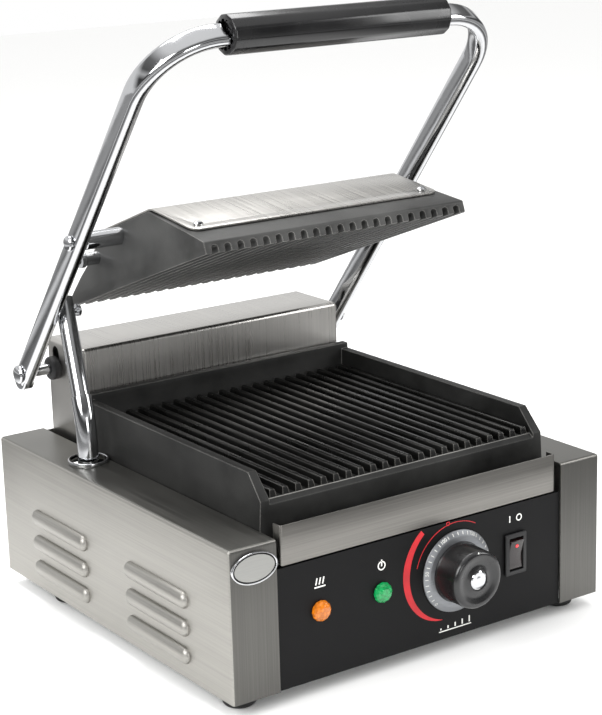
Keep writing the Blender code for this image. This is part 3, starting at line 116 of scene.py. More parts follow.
def new_material(name, **sockets):
    """A material with one Principled shader; returns the material, its node tree and the shader."""
    made = bpy.data.materials.new(name)
    made.use_nodes = True
    tree = made.node_tree
    shader = tree.nodes["Principled BSDF"]
    for key, value in sockets.items():
        shader.inputs[key.replace("_", " ")].default_value = value
    return made, tree, shader


def ramp(tree, factor, low, high, start=0.0, stop=1.0):
    """Two colours blended over part of a pattern's range."""
    made = add(tree, "ShaderNodeValToRGB", {"Fac": factor})
    made.color_ramp.elements[0].position = start
    made.color_ramp.elements[0].color = low
    made.color_ramp.elements[1].position = stop
    made.color_ramp.elements[1].color = high
    return made


def grey(value):
    return (value, value, value, 1.0)


def object_pattern(tree, scale):
    """Object coordinates, in metres, stretched so that a pattern gets its real size along each axis."""
    place = add(tree, "ShaderNodeTexCoord")
    return add(tree, "ShaderNodeMapping", {"Vector": (place, "Object"), "Scale": scale})


# %% [markdown]
# ## Brushed stainless steel
#
# Catering casings are grade 304 sheet with a brushed finish: an abrasive belt leaves fine straight scratches, all
# one way. The eye reads them as soft streaks in the reflection and as a slight change of shade along the sheet. The
# real scratches are under 0.1 mm apart, too fine to see here, so they are drawn 0.9 mm apart and 110 mm long.

# %% Brushed steel
def brushed_steel(name, tint, along, rough=0.34, spread=0.10, contrast=0.10, streak=0.9, length=110.0):
    """along names the axes the scratches run along, so "YZ" suits a sheet folded across X."""
    made, tree, shader = new_material(name, Metallic=1.0)
    scale = [1000 / (length if axis in along else streak) for axis in "XYZ"]
    streaks = add(tree, "ShaderNodeTexNoise", {"Vector": (object_pattern(tree, scale), "Vector"),
                                               "Scale": 1.0, "Detail": 3.0, "Roughness": 0.5})
    cloud = add(tree, "ShaderNodeTexNoise", {"Vector": (object_pattern(tree, (1, 1, 1)), "Vector"),
                                             "Scale": 11.0, "Detail": 3.0, "Roughness": 0.5})
    both = add(tree, "ShaderNodeMix", {"Factor": 0.35, "A": (streaks, "Fac"), "B": (cloud, "Fac")})
    base = colour(tint)
    dark = [c * (1 - contrast) for c in base[:3]] + [1.0]
    light = [min(c * (1 + contrast), 1.0) for c in base[:3]] + [1.0]
    shade = ramp(tree, (both, "Result"), dark, light, 0.36, 0.64)
    gloss = add(tree, "ShaderNodeMapRange", {"Value": (both, "Result"), "From Min": 0.35, "From Max": 0.65,
                                             "To Min": rough - spread / 2, "To Max": rough + spread / 2})
    bump = add(tree, "ShaderNodeBump", {"Height": (streaks, "Fac"), "Strength": 0.05, "Distance": 0.0001})
    tree.links.new(shade.outputs["Color"], shader.inputs["Base Color"])
    tree.links.new(gloss.outputs["Result"], shader.inputs["Roughness"])
    tree.links.new(bump.outputs["Normal"], shader.inputs["Normal"])
    return made


steel_sides = brushed_steel("brushed_304_lengthwise", "#A5A39E", "Y", rough=0.45)
# The pillar and top-strip tints are the same 304 sheet made darker: painted shade, which the casings' front and top
# faces get by their direction.
steel_front_painted_shade = brushed_steel("brushed_304_pillars_painted_shade", "#676663", "Z", rough=0.40, contrast=0.14)
steel_top_painted_shade = brushed_steel("brushed_304_top_strip_painted_shade", "#7C7B77", "Y", rough=0.36, contrast=0.12)
steel_strip = brushed_steel("brushed_304_drip_strip", "#7F7D79", "X", rough=0.36, contrast=0.14)
steel_across = brushed_steel("brushed_304_across", "#8C8A86", "X", rough=0.38, contrast=0.12)
steel_cover = brushed_steel("brushed_304_cover", "#BDBBB7", "YZ", rough=0.30, spread=0.12, contrast=0.08)
print("steels:", steel_sides.name, steel_front_painted_shade.name, steel_across.name, steel_cover.name)

# %% [markdown]
# ## Seasoned cast iron
#
# The plates are sand-cast grey iron. The skin copies the grains of the mould, about half a millimetre, and it is
# darkened with baked-on oil that lies unevenly. Edges are lighter, partly as wear where hands scrape them and partly
# as a painted highlight: a Bevel node rounds the normal near an edge, and where it disagrees with the true normal, the
# edge is lightened.

# %% Cast iron
def cast_iron(name, skin, worn_and_highlit, rough, grain=0.55):
    made, tree, shader = new_material(name, Metallic=0.55)
    place = object_pattern(tree, (1, 1, 1))
    patches = add(tree, "ShaderNodeTexNoise", {"Vector": (place, "Vector"), "Scale": 26.0, "Detail": 5.0,
                                               "Roughness": 0.62})
    grains = add(tree, "ShaderNodeTexNoise", {"Vector": (place, "Vector"), "Scale": 1000 / grain, "Detail": 2.0,
                                              "Roughness": 0.5})
    base = colour(skin)
    dark = [c * 0.62 for c in base[:3]] + [1.0]
    light = [c * 1.55 for c in base[:3]] + [1.0]
    mottled = ramp(tree, (patches, "Fac"), dark, light, 0.30, 0.72)
    rounded = add(tree, "ShaderNodeBevel", {"Radius": 0.0009}, samples=4)
    true = add(tree, "ShaderNodeNewGeometry")
    agree = add(tree, "ShaderNodeVectorMath", {0: (rounded, "Normal"), 1: (true, "Normal")},
                operation='DOT_PRODUCT')
    # Near an edge the colour moves to the pale tone. This is partly scraped wear and partly a painted highlight along
    # the edge.
    edge = add(tree, "ShaderNodeMapRange", {"Value": (agree, "Value"), "From Min": 0.995, "From Max": 0.90,
                                            "To Min": 0.0, "To Max": 0.75})
    rubbed_and_highlit = add(tree, "ShaderNodeMath", {0: (edge, "Result"), 1: (patches, "Fac")}, operation='MULTIPLY',
                 use_clamp=True)
    shade = add(tree, "ShaderNodeMix", {"Factor": (rubbed_and_highlit, "Value"), 6: (mottled, "Color"), 7: colour(worn_and_highlit)},
                data_type='RGBA')
    gloss = add(tree, "ShaderNodeMapRange", {"Value": (patches, "Fac"), "From Min": 0.3, "From Max": 0.7,
                                             "To Min": rough - 0.10, "To Max": rough + 0.10})
    bump = add(tree, "ShaderNodeBump", {"Height": (grains, "Fac"), "Strength": 0.45, "Distance": 0.0002})
    tree.links.new(shade.outputs[2], shader.inputs["Base Color"])
    tree.links.new(gloss.outputs["Result"], shader.inputs["Roughness"])
    tree.links.new(bump.outputs["Normal"], shader.inputs["Normal"])
    return made


# The pale second colour paints both the scraped edges and a highlight along them.
iron = cast_iron("seasoned_cast_iron", "#2A2A29", "#C4C2BD", 0.50)
iron_ribs = cast_iron("oiled_rib_iron", "#161615", "#A9A7A1", 0.30)
iron_upper = cast_iron("bare_cast_iron", "#454544", "#D0CEC9", 0.52)
print("irons:", iron.name, iron_ribs.name, iron_upper.name)

# %% [markdown]
# ## Chrome plate
#
# The handle and the conduit are steel tube, polished and chrome plated. Chrome is almost a mirror with a faint cool
# tint. Polishing leaves slow waves of a centimetre or two that make the reflections swim, and fingers leave a film
# that is only a little less sharp.

# %% Chrome
def chrome(name, tint="#D9DADC", rough=0.07):
    made, tree, shader = new_material(name, Metallic=1.0, Base_Color=colour(tint))
    place = object_pattern(tree, (1, 1, 1))
    film = add(tree, "ShaderNodeTexNoise", {"Vector": (place, "Vector"), "Scale": 60.0, "Detail": 4.0})
    waves = add(tree, "ShaderNodeTexNoise", {"Vector": (place, "Vector"), "Scale": 55.0, "Detail": 1.0})
    gloss = add(tree, "ShaderNodeMapRange", {"Value": (film, "Fac"), "From Min": 0.35, "From Max": 0.75,
                                             "To Min": rough, "To Max": rough + 0.09})
    bump = add(tree, "ShaderNodeBump", {"Height": (waves, "Fac"), "Strength": 0.12, "Distance": 0.0006})
    tree.links.new(gloss.outputs["Result"], shader.inputs["Roughness"])
    tree.links.new(bump.outputs["Normal"], shader.inputs["Normal"])
    return made


bright_chrome = chrome("chrome_plate", "#C9CACC")
zinc_steel = brushed_steel("zinc_plated_sheet", "#9A9C9B", "Y", rough=0.50, spread=0.16, streak=6.0, length=9.0)
element_sheath = cast_iron("heat_darkened_sheath", "#3A322E", "#6A6058", 0.55, grain=0.8)
print("chrome and inner metals ready")

# %% [markdown]
# ## Plastics, rubber and lenses
#
# The grip and the knob are phenolic, moulded and glossy where hands polish it. The feet are nitrile rubber with the
# dull skin of a mould. The panel is a black film with a very fine orange-peel surface. Every one of them is black,
# so the surface, and not the colour, has to tell them apart.

# %% Moulded blacks
def moulded(name, tint, rough, grain=0.5, depth=0.0001, strength=0.2, coat=0.0, shine=0.5):
    made, tree, shader = new_material(name, Coat_Weight=coat, Coat_Roughness=0.12, Specular_IOR_Level=shine)
    place = object_pattern(tree, (1, 1, 1))
    skin = add(tree, "ShaderNodeTexNoise", {"Vector": (place, "Vector"), "Scale": 1000 / grain, "Detail": 3.0})
    wipe = add(tree, "ShaderNodeTexNoise", {"Vector": (place, "Vector"), "Scale": 35.0, "Detail": 4.0})
    base = colour(tint)
    shade = ramp(tree, (wipe, "Fac"), [c * 0.75 for c in base[:3]] + [1.0],
                 [c * 1.35 for c in base[:3]] + [1.0], 0.3, 0.7)
    gloss = add(tree, "ShaderNodeMapRange", {"Value": (wipe, "Fac"), "From Min": 0.3, "From Max": 0.7,
                                             "To Min": rough - 0.05, "To Max": rough + 0.07})
    bump = add(tree, "ShaderNodeBump", {"Height": (skin, "Fac"), "Strength": strength, "Distance": depth})
    tree.links.new(shade.outputs["Color"], shader.inputs["Base Color"])
    tree.links.new(gloss.outputs["Result"], shader.inputs["Roughness"])
    tree.links.new(bump.outputs["Normal"], shader.inputs["Normal"])
    return made


grip_phenolic = moulded("phenolic_grip", "#0D0D0E", 0.24, grain=1.4, strength=0.10, coat=0.35)
knob_phenolic = moulded("phenolic_knob", "#141415", 0.26, coat=0.35)
panel_film = moulded("black_panel_film", "#0B0B0C", 0.50, grain=0.9, strength=0.08, shine=0.18)
housing_nylon = moulded("black_nylon", "#1A1A1B", 0.48)
foot_rubber = moulded("nitrile_rubber", "#151515", 0.72, grain=0.8, strength=0.4)
white_ink = moulded("white_screen_ink", "#D8D8D4", 0.55, strength=0.1)
red_ink = moulded("red_screen_ink", "#C01A24", 0.55, strength=0.1)
rocker_red = moulded("smoked_rocker", "#170C0C", 0.22, coat=0.4)
dial_silver = brushed_steel("silvered_dial", "#8D8F92", "X", rough=0.44, contrast=0.08, streak=0.8, length=8.0)
badge_silver = brushed_steel("satin_badge", "#A2A29F", "X", rough=0.40, contrast=0.05, length=30.0)


# %% Lamp lenses
def lens(name, tint, glow):
    """Dyed polycarbonate with moulded facets, each given painted shade at its edges; a faint emission in its colour
    makes it glow.
    """
    made, tree, shader = new_material(name, IOR=1.58, Transmission_Weight=0.15, Coat_Weight=0.3,
                                      Coat_Roughness=0.05, Emission_Strength=glow)
    place = object_pattern(tree, (1, 1, 1))
    facets = add(tree, "ShaderNodeTexVoronoi", {"Vector": (place, "Vector"), "Scale": 480.0})
    base = colour(tint)
    # Painted shade: each facet is lighter in its middle and darker towards its edges.
    shade = ramp(tree, (facets, "Distance"), [min(c * 1.15, 1.0) for c in base[:3]] + [1.0],
                 [c * 0.62 for c in base[:3]] + [1.0], 0.0, 0.8)
    bump = add(tree, "ShaderNodeBump", {"Height": (facets, "Distance"), "Strength": 0.5, "Distance": 0.0004})
    tree.links.new(shade.outputs["Color"], shader.inputs["Base Color"])
    tree.links.new(shade.outputs["Color"], shader.inputs["Emission Color"])
    tree.links.new(bump.outputs["Normal"], shader.inputs["Normal"])
    shader.inputs["Roughness"].default_value = 0.16
    return made


amber_lens = lens("amber_polycarbonate", "#D9780F", 0.18)
green_lens = lens("green_polycarbonate", "#0C9B52", 0.12)
print("plastics, rubber, ink and lenses ready")

# %% [markdown]
# ## A first coat for every solid
#
# Each solid that stays as it is gets its real finish at once. Those whose shape is finer than the frame's are
# hidden later, by the piece that stands for them.

# %% Finishes on the frame's solids
FINISH = {
    "base_pan": zinc_steel, "rear_panel": steel_across, "left_side_casing": steel_sides,
    "right_side_casing": steel_sides, "rear_cover": steel_cover, "drip_tray": steel_across,
    "tray_runner_left": zinc_steel, "tray_runner_right": zinc_steel, "control_panel": panel_film,
    "cable_gland": housing_nylon, "switch_body": housing_nylon, "terminal_block": housing_nylon,
    "hot_lamp_body": housing_nylon, "power_lamp_body": housing_nylon, "pivot_bush_left": housing_nylon,
    "pivot_bush_right": housing_nylon, "thermostat_body": zinc_steel, "thermostat_probe": bright_chrome,
    "thermostat_shaft": zinc_steel, "lower_plate": iron, "upper_plate": iron, "upper_cover": steel_cover,
    "lower_heating_element": element_sheath, "upper_heating_element": element_sheath,
    "lower_clamp_plate": zinc_steel, "upper_clamp_plate": zinc_steel, "torsion_spring_left": zinc_steel,
    "torsion_spring_right": zinc_steel, "grip": grip_phenolic, "knob_cap": knob_phenolic,
    "dial_skirt": dial_silver, "switch_rocker": rocker_red, "hot_lamp_lens": amber_lens,
    "power_lamp_lens": green_lens, "foot_front_left": foot_rubber, "foot_front_right": foot_rubber,
    "foot_rear_left": foot_rubber, "foot_rear_right": foot_rubber,
}
for node_name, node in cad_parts.items():
    node.data.materials.clear()
    node.data.materials.append(FINISH.get(node_name, bright_chrome))
print("first coat on", len(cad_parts), "solids")

# %% [markdown]
# ## The studio
#
# A pale floor, one broad soft light over the left shoulder, a cooler one from the right and a strip above. The
# surroundings are what chrome shows, so they are graded: bright overhead and behind, banded in front. The floor
# is pale near the grill and darkens in rings where the sheet ends and the room begins, but only as polished metal
# sees it. To every other ray both are plain and pale.

# %% Floor, surroundings and lamps
bpy.ops.mesh.primitive_plane_add(size=8.0, location=(0, 0, -0.0005))
floor = bpy.context.object
floor.name = "studio_floor"
floor_paint, floor_tree, floor_shader = new_material("matt_floor_paint", Base_Color=colour("#FBFBFA"),
                                                     Roughness=0.9)
floor_place = add(floor_tree, "ShaderNodeTexCoord")
far = add(floor_tree, "ShaderNodeVectorMath", {0: (floor_place, "Object")}, operation='LENGTH')
reach = add(floor_tree, "ShaderNodeMapRange", {"Value": (far, "Value"), "From Min": 0.0, "From Max": 2.0})
rings = add(floor_tree, "ShaderNodeValToRGB", {"Fac": (reach, "Result")})
rings.color_ramp.elements[0].color = colour("#FBFBFA")
rings.color_ramp.elements[1].color = grey(0.35)
for position, value in ((0.22, 0.95), (0.30, 0.16), (0.46, 0.05), (0.56, 0.50), (0.62, 0.60), (0.74, 0.08)):
    rings.color_ramp.elements.new(position).color = grey(value)
floor_rays = add(floor_tree, "ShaderNodeLightPath")
floor_tone = add(floor_tree, "ShaderNodeMix", {"Factor": (floor_rays, "Is Glossy Ray"), 6: colour("#FBFBFA"),
                                               7: (rings, "Color")}, data_type='RGBA')
floor_tree.links.new(floor_tone.outputs[2], floor_shader.inputs["Base Color"])
floor.data.materials.append(floor_paint)

world = bpy.context.scene.world or bpy.data.worlds.new("studio")
bpy.context.scene.world = world
world.use_nodes = True
sky = world.node_tree
sky.nodes.clear()
direction = add(sky, "ShaderNodeTexCoord")
axes = add(sky, "ShaderNodeSeparateXYZ", {"Vector": (direction, "Generated")})
graded = add(sky, "ShaderNodeValToRGB", {"Fac": (axes, "Z")})
bands = graded.color_ramp
bands.elements[0].position = 0.0
bands.elements[0].color = grey(0.50)
bands.elements[1].position = 1.0
bands.elements[1].color = grey(1.0)
for position, value in ((0.04, 0.10), (0.20, 0.05), (0.30, 0.60), (0.40, 0.12), (0.60, 0.20), (0.80, 0.95)):
    bands.elements.new(position).color = grey(value)
behind = add(sky, "ShaderNodeMapRange", {"Value": (axes, "Y"), "From Min": 0.52, "From Max": 0.70})
round_about = add(sky, "ShaderNodeMix", {"Factor": (behind, "Result"), 6: (graded, "Color"), 7: grey(0.95)},
                  data_type='RGBA')
rays = add(sky, "ShaderNodeLightPath")
shown = add(sky, "ShaderNodeBackground", {"Color": grey(1.0), "Strength": 1.0})
reflected = add(sky, "ShaderNodeBackground", {"Color": (round_about, 2), "Strength": 1.0})
mixed = add(sky, "ShaderNodeMixShader", {"Fac": (rays, "Is Glossy Ray"), 1: (shown, "Background"),
                                         2: (reflected, "Background")})
add(sky, "ShaderNodeOutputWorld", {"Surface": (mixed, "Shader")})


def soft_light(name, place, aim, width, height, watts):
    data = bpy.data.lights.new(name, 'AREA')
    data.shape = 'RECTANGLE'
    data.size = width
    data.size_y = height
    data.energy = watts
    lamp = bpy.data.objects.new(name, data)
    bpy.context.scene.collection.objects.link(lamp)
    lamp.location = place
    lamp.rotation_euler = (Vector(aim) - Vector(place)).to_track_quat('-Z', 'Y').to_euler()
    return lamp


soft_light("left_softbox", (-1.5, -0.5, 1.1), AIM, 1.0, 0.9, 22)
soft_light("right_softbox", (1.3, -1.1, 0.9), AIM, 0.5, 1.0, 9)
soft_light("overhead_softbox", (0.0, 0.5, 1.6), AIM, 1.2, 0.7, 18)
soft_light("front_card", (-0.3, -1.7, 0.5), AIM, 0.5, 0.4, 4)
bpy.context.scene.view_settings.view_transform = 'Standard'
print("studio ready")

# %% [markdown]
# ## How a piece is made
#
# Every new piece starts as a primitive, is shaped in edit mode, and is finished with modifiers that are applied.
# Then its place is written into its mesh, and it rides on the body that the solid it stands for rides on.

# %% Modelling helpers
def deselect():
    bpy.ops.object.select_all(action='DESELECT')


def make_active(piece):
    deselect()
    piece.select_set(True)
    bpy.context.view_layer.objects.active = piece
    return piece


def cube(name, low, high):
    """A cube at its size and place, between two corners."""
    deselect()
    low, high = Vector(low), Vector(high)
    bpy.ops.mesh.primitive_cube_add(size=1.0, location=(low + high) / 2)
    piece = bpy.context.object
    piece.name = name
    piece.scale = high - low
    bpy.ops.object.transform_apply(location=True, rotation=True, scale=True)
    return piece


def select_faces(piece, test):
    """Face mode, with the faces selected whose middle and normal pass a test."""
    make_active(piece)
    bpy.ops.object.mode_set(mode='EDIT')
    bpy.ops.mesh.select_mode(type='FACE')
    bpy.ops.mesh.select_all(action='DESELECT')
    shape = bmesh.from_edit_mesh(piece.data)
    for face in shape.faces:
        face.select_set(test(face.calc_center_median(), face.normal))
    bmesh.update_edit_mesh(piece.data)


def select_edges(piece, test):
    """Edge mode, with the edges selected whose two ends pass a test."""
    make_active(piece)
    bpy.ops.object.mode_set(mode='EDIT')
    bpy.ops.mesh.select_mode(type='EDGE')
    bpy.ops.mesh.select_all(action='DESELECT')
    shape = bmesh.from_edit_mesh(piece.data)
    for edge in shape.edges:
        edge.select_set(test(edge.verts[0].co, edge.verts[1].co))
    bmesh.update_edit_mesh(piece.data)


def leave_edit():
    bpy.ops.object.mode_set(mode='OBJECT')


def modify(piece, kind, **settings):
    """Adds a modifier and applies it."""
    make_active(piece)
    made = piece.modifiers.new(kind.lower(), kind)
    for key, value in settings.items():
        setattr(made, key, value)
    bpy.ops.object.modifier_apply(modifier=made.name)
    return piece


def face_outwards(piece):
    make_active(piece)
    bpy.ops.object.mode_set(mode='EDIT')
    bpy.ops.mesh.select_all(action='SELECT')
    bpy.ops.mesh.normals_make_consistent(inside=False)
    leave_edit()


def boolean(piece, other, operation='DIFFERENCE'):
    modify(piece, 'BOOLEAN', object=other, operation=operation, solver='EXACT')
    bpy.data.objects.remove(other, do_unlink=True)
    return piece


def round_edges(piece, width, segments=3, angle=30):
    return modify(piece, 'BEVEL', width=width, segments=segments, limit_method='ANGLE',
                  angle_limit=math.radians(angle), harden_normals=False)


def smooth(piece, angle=35):
    make_active(piece)
    bpy.ops.object.shade_smooth_by_angle(angle=math.radians(angle))
    return piece


def put(piece, place=(0, 0, 0), turn=(0, 0, 0)):
    """Writes a place and a turn into the mesh."""
    make_active(piece)
    piece.location = place
    piece.rotation_euler = turn
    bpy.ops.object.transform_apply(location=True, rotation=True, scale=True)
    return piece


def join(name, pieces):
    deselect()
    for piece in pieces:
        piece.select_set(True)
    bpy.context.view_layer.objects.active = pieces[0]
    bpy.ops.object.join()
    pieces[0].name = name
    return pieces[0]


def finish_piece(piece, name, finish, body, slot, *stands_for):
    piece.name = name
    piece.data.name = name
    piece.data.materials.clear()
    piece.data.materials.append(finish)
    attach(piece, body)
    if stands_for:
        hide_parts(*stands_for)
    print(name, "has", len(piece.data.polygons), "faces")
    return piece


def second_finish(piece, finish, test):
    """Gives another finish to the faces whose middle and normal pass a test."""
    piece.data.materials.append(finish)
    index = len(piece.data.materials) - 1
    for face in piece.data.polygons:
        if test(face.center, face.normal):
            face.material_index = index


def middle_of(node):
    low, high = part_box(node)
    return (low + high) / 2


def lathe(name, rings, sides=48):
    """A turned shape along Z. It starts as a cone through the first two rings of (radius, height), and then the
    end face is extruded and scaled, ring after ring."""
    deselect()
    (radius_0, height_0), (radius_1, height_1) = rings[:2]
    bpy.ops.mesh.primitive_cone_add(vertices=sides, radius1=radius_0, radius2=radius_1,
                                    depth=abs(height_1 - height_0),
                                    location=(0, 0, (height_0 + height_1) / 2))
    piece = bpy.context.object
    piece.name = name
    bpy.ops.object.transform_apply(location=True, rotation=True, scale=True)
    select_faces(piece, lambda middle, normal: normal.z > 0.9 and middle.z > (height_0 + height_1) / 2)
    radius, height = radius_1, height_1
    for next_radius, next_height in rings[2:]:
        bpy.ops.mesh.extrude_region_move(TRANSFORM_OT_translate={"value": (0, 0, next_height - height)})
        ratio = next_radius / radius
        bpy.ops.transform.resize(value=(ratio, ratio, 1), center_override=(0, 0, next_height))
        radius, height = next_radius, next_height
    leave_edit()
    return piece


def bisect(piece, point, normal):
    """Cuts the piece with a plane, drops what lies on the side the normal points to, and closes the cut. The
    operator cuts off any part of a normal beyond 1, so it is made one long first."""
    make_active(piece)
    bpy.ops.object.mode_set(mode='EDIT')
    bpy.ops.mesh.select_all(action='SELECT')
    bpy.ops.mesh.bisect(plane_co=point, plane_no=Vector(normal).normalized(), use_fill=True, clear_outer=True)
    leave_edit()
    face_outwards(piece)
    return piece


def cylinder(name, radius, start, end, sides=48):
    """A cylinder between two points."""
    deselect()
    start, end = Vector(start), Vector(end)
    axis = end - start
    bpy.ops.mesh.primitive_cylinder_add(vertices=sides, radius=radius, depth=axis.length,
                                        location=(start + end) / 2,
                                        rotation=axis.to_track_quat('Z', 'Y').to_euler())
    piece = bpy.context.object
    piece.name = name
    bpy.ops.object.transform_apply(location=True, rotation=True, scale=True)
    return piece


def copies(piece, places, turns=None):
    """Copies of a piece, each with its own mesh, moved to the places and turned; the first one goes away."""
    made = []
    for place, turn in zip(places, turns or [(0, 0, 0)] * len(places)):
        make_active(piece)
        bpy.ops.object.duplicate(linked=False)
        made.append(put(bpy.context.object, place, turn))
    bpy.data.objects.remove(piece, do_unlink=True)
    return made


def open_ring(name, section):
    """A flat ring of vertices in the plane Y = 0, ready to be extruded. section holds (x, z). It is selected in
    vertex mode, because face mode finds no face in a ring and would move it instead of extruding it."""
    deselect()
    bpy.ops.mesh.primitive_circle_add(vertices=len(section), radius=1.0)
    piece = bpy.context.object
    piece.name = name
    bpy.ops.object.mode_set(mode='EDIT')
    bpy.ops.mesh.select_mode(type='VERT')
    shape = bmesh.from_edit_mesh(piece.data)
    for vert, (x, z) in zip(shape.verts, section):
        vert.co = (x, 0, z)
    bmesh.update_edit_mesh(piece.data)
    bpy.ops.mesh.select_all(action='SELECT')
    return piece


def extrude_to(step):
    bpy.ops.mesh.extrude_region_move(TRANSFORM_OT_translate={"value": tuple(step)})


def close_tube(piece):
    """Caps the open ends and turns every face outwards."""
    make_active(piece)
    bpy.ops.object.mode_set(mode='EDIT')
    bpy.ops.mesh.select_all(action='SELECT')
    bpy.ops.mesh.remove_doubles(threshold=0.00001)
    bpy.ops.mesh.fill_holes(sides=0)
    leave_edit()
    face_outwards(piece)
    return piece


FACING_FRONT = (math.radians(90), 0, 0)
FACING_RIGHT = (0, math.radians(90), 0)
FACING_LEFT = (0, math.radians(-90), 0)
print("helpers ready")

# %% [markdown]
# ## The side casings
#
# Each is one sheet folded into a side wall, a top strip and a front pillar, with six louvres pressed outwards. A
# box with its unseen sides removed, bevelled along its folds and then given the sheet's thickness, is how a sheet
# metal worker thinks of it too. A louvre is a long half round, hollow behind, so that warm air leaves under it.

# %% Louvre tool
WALL_LOW, WALL_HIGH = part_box("left_side_casing")
HALF_WIDTH = 150 * MM
FRONT_Y = WALL_LOW.y
REAR_Y = WALL_HIGH.y
CASE_BOTTOM = WALL_LOW.z
CASE_TOP = WALL_HIGH.z
STRIP_WIDTH = 34.4 * MM
SHEET = 1.2 * MM
LOUVRE_LENGTH = 76 * MM
LOUVRE_HEIGHT = 11.8 * MM
LOUVRE_REACH = 4.4 * MM
LOUVRE_ROWS = [CASE_BOTTOM + (15.5 + 18.7 * row) * MM for row in range(3)]
LOUVRE_COLUMNS = [FRONT_Y + (87 + 129 * column) * MM for column in range(2)]


def capsule(name, centre, reach, height, length):
    """A ball, its two halves drawn apart along Y, and then flattened."""
    deselect()
    bpy.ops.mesh.primitive_uv_sphere_add(segments=28, ring_count=16, radius=0.5, rotation=(math.radians(90), 0, 0))
    piece = bpy.context.object
    piece.name = name
    bpy.ops.object.transform_apply(location=True, rotation=True, scale=True)
    make_active(piece)
    bpy.ops.object.mode_set(mode='EDIT')
    bpy.ops.mesh.select_mode(type='VERT')
    straight = length / height - 1
    for side in (-1, 1):
        bpy.ops.mesh.select_all(action='DESELECT')
        shape = bmesh.from_edit_mesh(piece.data)
        for vert in shape.verts:
            vert.select_set(vert.co.y * side > 1e-4)
        bmesh.update_edit_mesh(piece.data)
        bpy.ops.transform.translate(value=(0, side * straight / 2, 0))
    leave_edit()
    piece.scale = (2 * reach, height, height)
    return put(piece, centre)


# %% Fold the casings
CONDUIT_OPENING = 12.65 * MM


def folded_casing(name, side):
    low = (min(side * HALF_WIDTH, side * (HALF_WIDTH - STRIP_WIDTH)), FRONT_Y, CASE_BOTTOM)
    high = (max(side * HALF_WIDTH, side * (HALF_WIDTH - STRIP_WIDTH)), REAR_Y, CASE_TOP)
    casing = cube(name, low, high)
    select_faces(casing, lambda middle, normal: normal.x * side < -0.9 or normal.z < -0.9 or normal.y > 0.9)
    bpy.ops.mesh.delete(type='FACE')
    leave_edit()
    round_edges(casing, 2.2 * MM, segments=5)
    modify(casing, 'SOLIDIFY', thickness=SHEET, offset=-1.0, use_even_offset=True)
    for row in LOUVRE_ROWS:
        for column in LOUVRE_COLUMNS:
            centre = (side * HALF_WIDTH, column, row)
            hood = capsule("hood", centre, LOUVRE_REACH, LOUVRE_HEIGHT, LOUVRE_LENGTH)
            half = cube("half", (min(0, -side * 1), -1, 0), (max(0, -side * 1), 1, 1))
            half.location.x = side * (HALF_WIDTH - SHEET / 2)
            boolean(hood, half)
            boolean(casing, hood, 'UNION')
            hollow = capsule("hollow", centre, LOUVRE_REACH - 0.9 * MM, LOUVRE_HEIGHT - 1.8 * MM,
                             LOUVRE_LENGTH - 1.8 * MM)
            boolean(casing, hollow)
    return smooth(casing, 32)


for side, word in ((-1, "left"), (1, "right")):
    casing = folded_casing(word + "_casing_sheet", side)
    if side < 0:
        hole_at = middle_of("conduit_escutcheon")
        deselect()
        bpy.ops.mesh.primitive_cylinder_add(vertices=48, radius=CONDUIT_OPENING, depth=20 * MM,
                                            location=(hole_at.x, hole_at.y, CASE_TOP))
        boolean(casing, bpy.context.object)
    finish_piece(casing, word + "_casing_sheet", steel_sides, "base", "brushed_steel", word + "_side_casing")
    # Painted shade: the faces turned to the front and those turned up get darker copies of the one sheet's steel.
    second_finish(casing, steel_front_painted_shade, lambda middle, normal: normal.y < -0.8 and middle.y < FRONT_Y + 2 * MM)
    second_finish(casing, steel_top_painted_shade, lambda middle, normal: normal.z > 0.8 and middle.z > CASE_TOP - 2 * MM)

# %% [markdown]
# ## The lower plate
#
# The cast tray stands on the casing with a rim on three sides and slopes open to the front, where fat runs off over
# a smooth lip. It starts as a block: one cut slopes the front, a second block sinks the pocket, and a small bevel
# gives the soft edges of a casting. The ribs are one rib, rounded and given its steep nose, and copied 22 times.

# %% Cast the lower plate
PLATE_LOW, PLATE_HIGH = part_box("lower_plate")
PLATE_HALF = PLATE_HIGH.x
RIM_TOP = CASE_TOP + 34 * MM
LIP_TOP = CASE_TOP + 15.4 * MM
SLOPE_END = CASE_TOP + 18.4 * MM
SLOPE_LENGTH = 14.3 * MM
GROOVE_FLOOR = CASE_TOP + 18 * MM
RIB_TOP = CASE_TOP + 23.5 * MM
RIB_PITCH = 9.7 * MM
RIB_FEET = PLATE_LOW.y + 3.5 * MM
POCKET_HALF = PLATE_HALF - 8 * MM
POCKET_REAR = PLATE_HIGH.y - 6.2 * MM

tray = cube("lower_plate_casting", PLATE_LOW, PLATE_HIGH)
step_cut = cube("step_cut", (-1, PLATE_LOW.y - 0.01, RIM_TOP), (1, POCKET_REAR, RIM_TOP + 0.05))
boolean(tray, step_cut)
slope = Vector((0, PLATE_LOW.y, SLOPE_END)), Vector((0, SLOPE_END - RIM_TOP, SLOPE_LENGTH))
bisect(tray, slope[0], slope[1])
for side in (-1, 1):
    bisect(tray, (side * PLATE_HALF, 0, CASE_TOP), (side, 0, 0.055))
pocket = cube("pocket", (-POCKET_HALF, PLATE_LOW.y - 0.03, GROOVE_FLOOR), (POCKET_HALF, POCKET_REAR, RIM_TOP + 0.05))
select_edges(pocket, lambda a, b: abs(a.x - b.x) > 0.01 and a.z < GROOVE_FLOOR + 1e-5 and a.y > 0)
bpy.ops.mesh.bevel(offset=2 * MM, segments=3)
leave_edit()
boolean(tray, pocket)
lip_cut = cube("lip_cut", (-POCKET_HALF, PLATE_LOW.y - 0.03, GROOVE_FLOOR - 0.02),
               (POCKET_HALF, RIB_FEET, GROOVE_FLOOR + 0.01))
bisect(lip_cut, (0, RIB_FEET, GROOVE_FLOOR), (0, GROOVE_FLOOR - LIP_TOP, -3.5 * MM))
boolean(tray, lip_cut)
round_edges(tray, 1.1 * MM, segments=3, angle=28)
finish_piece(smooth(tray, 40), "lower_plate_casting", iron, "base", "cast_iron", "lower_plate")

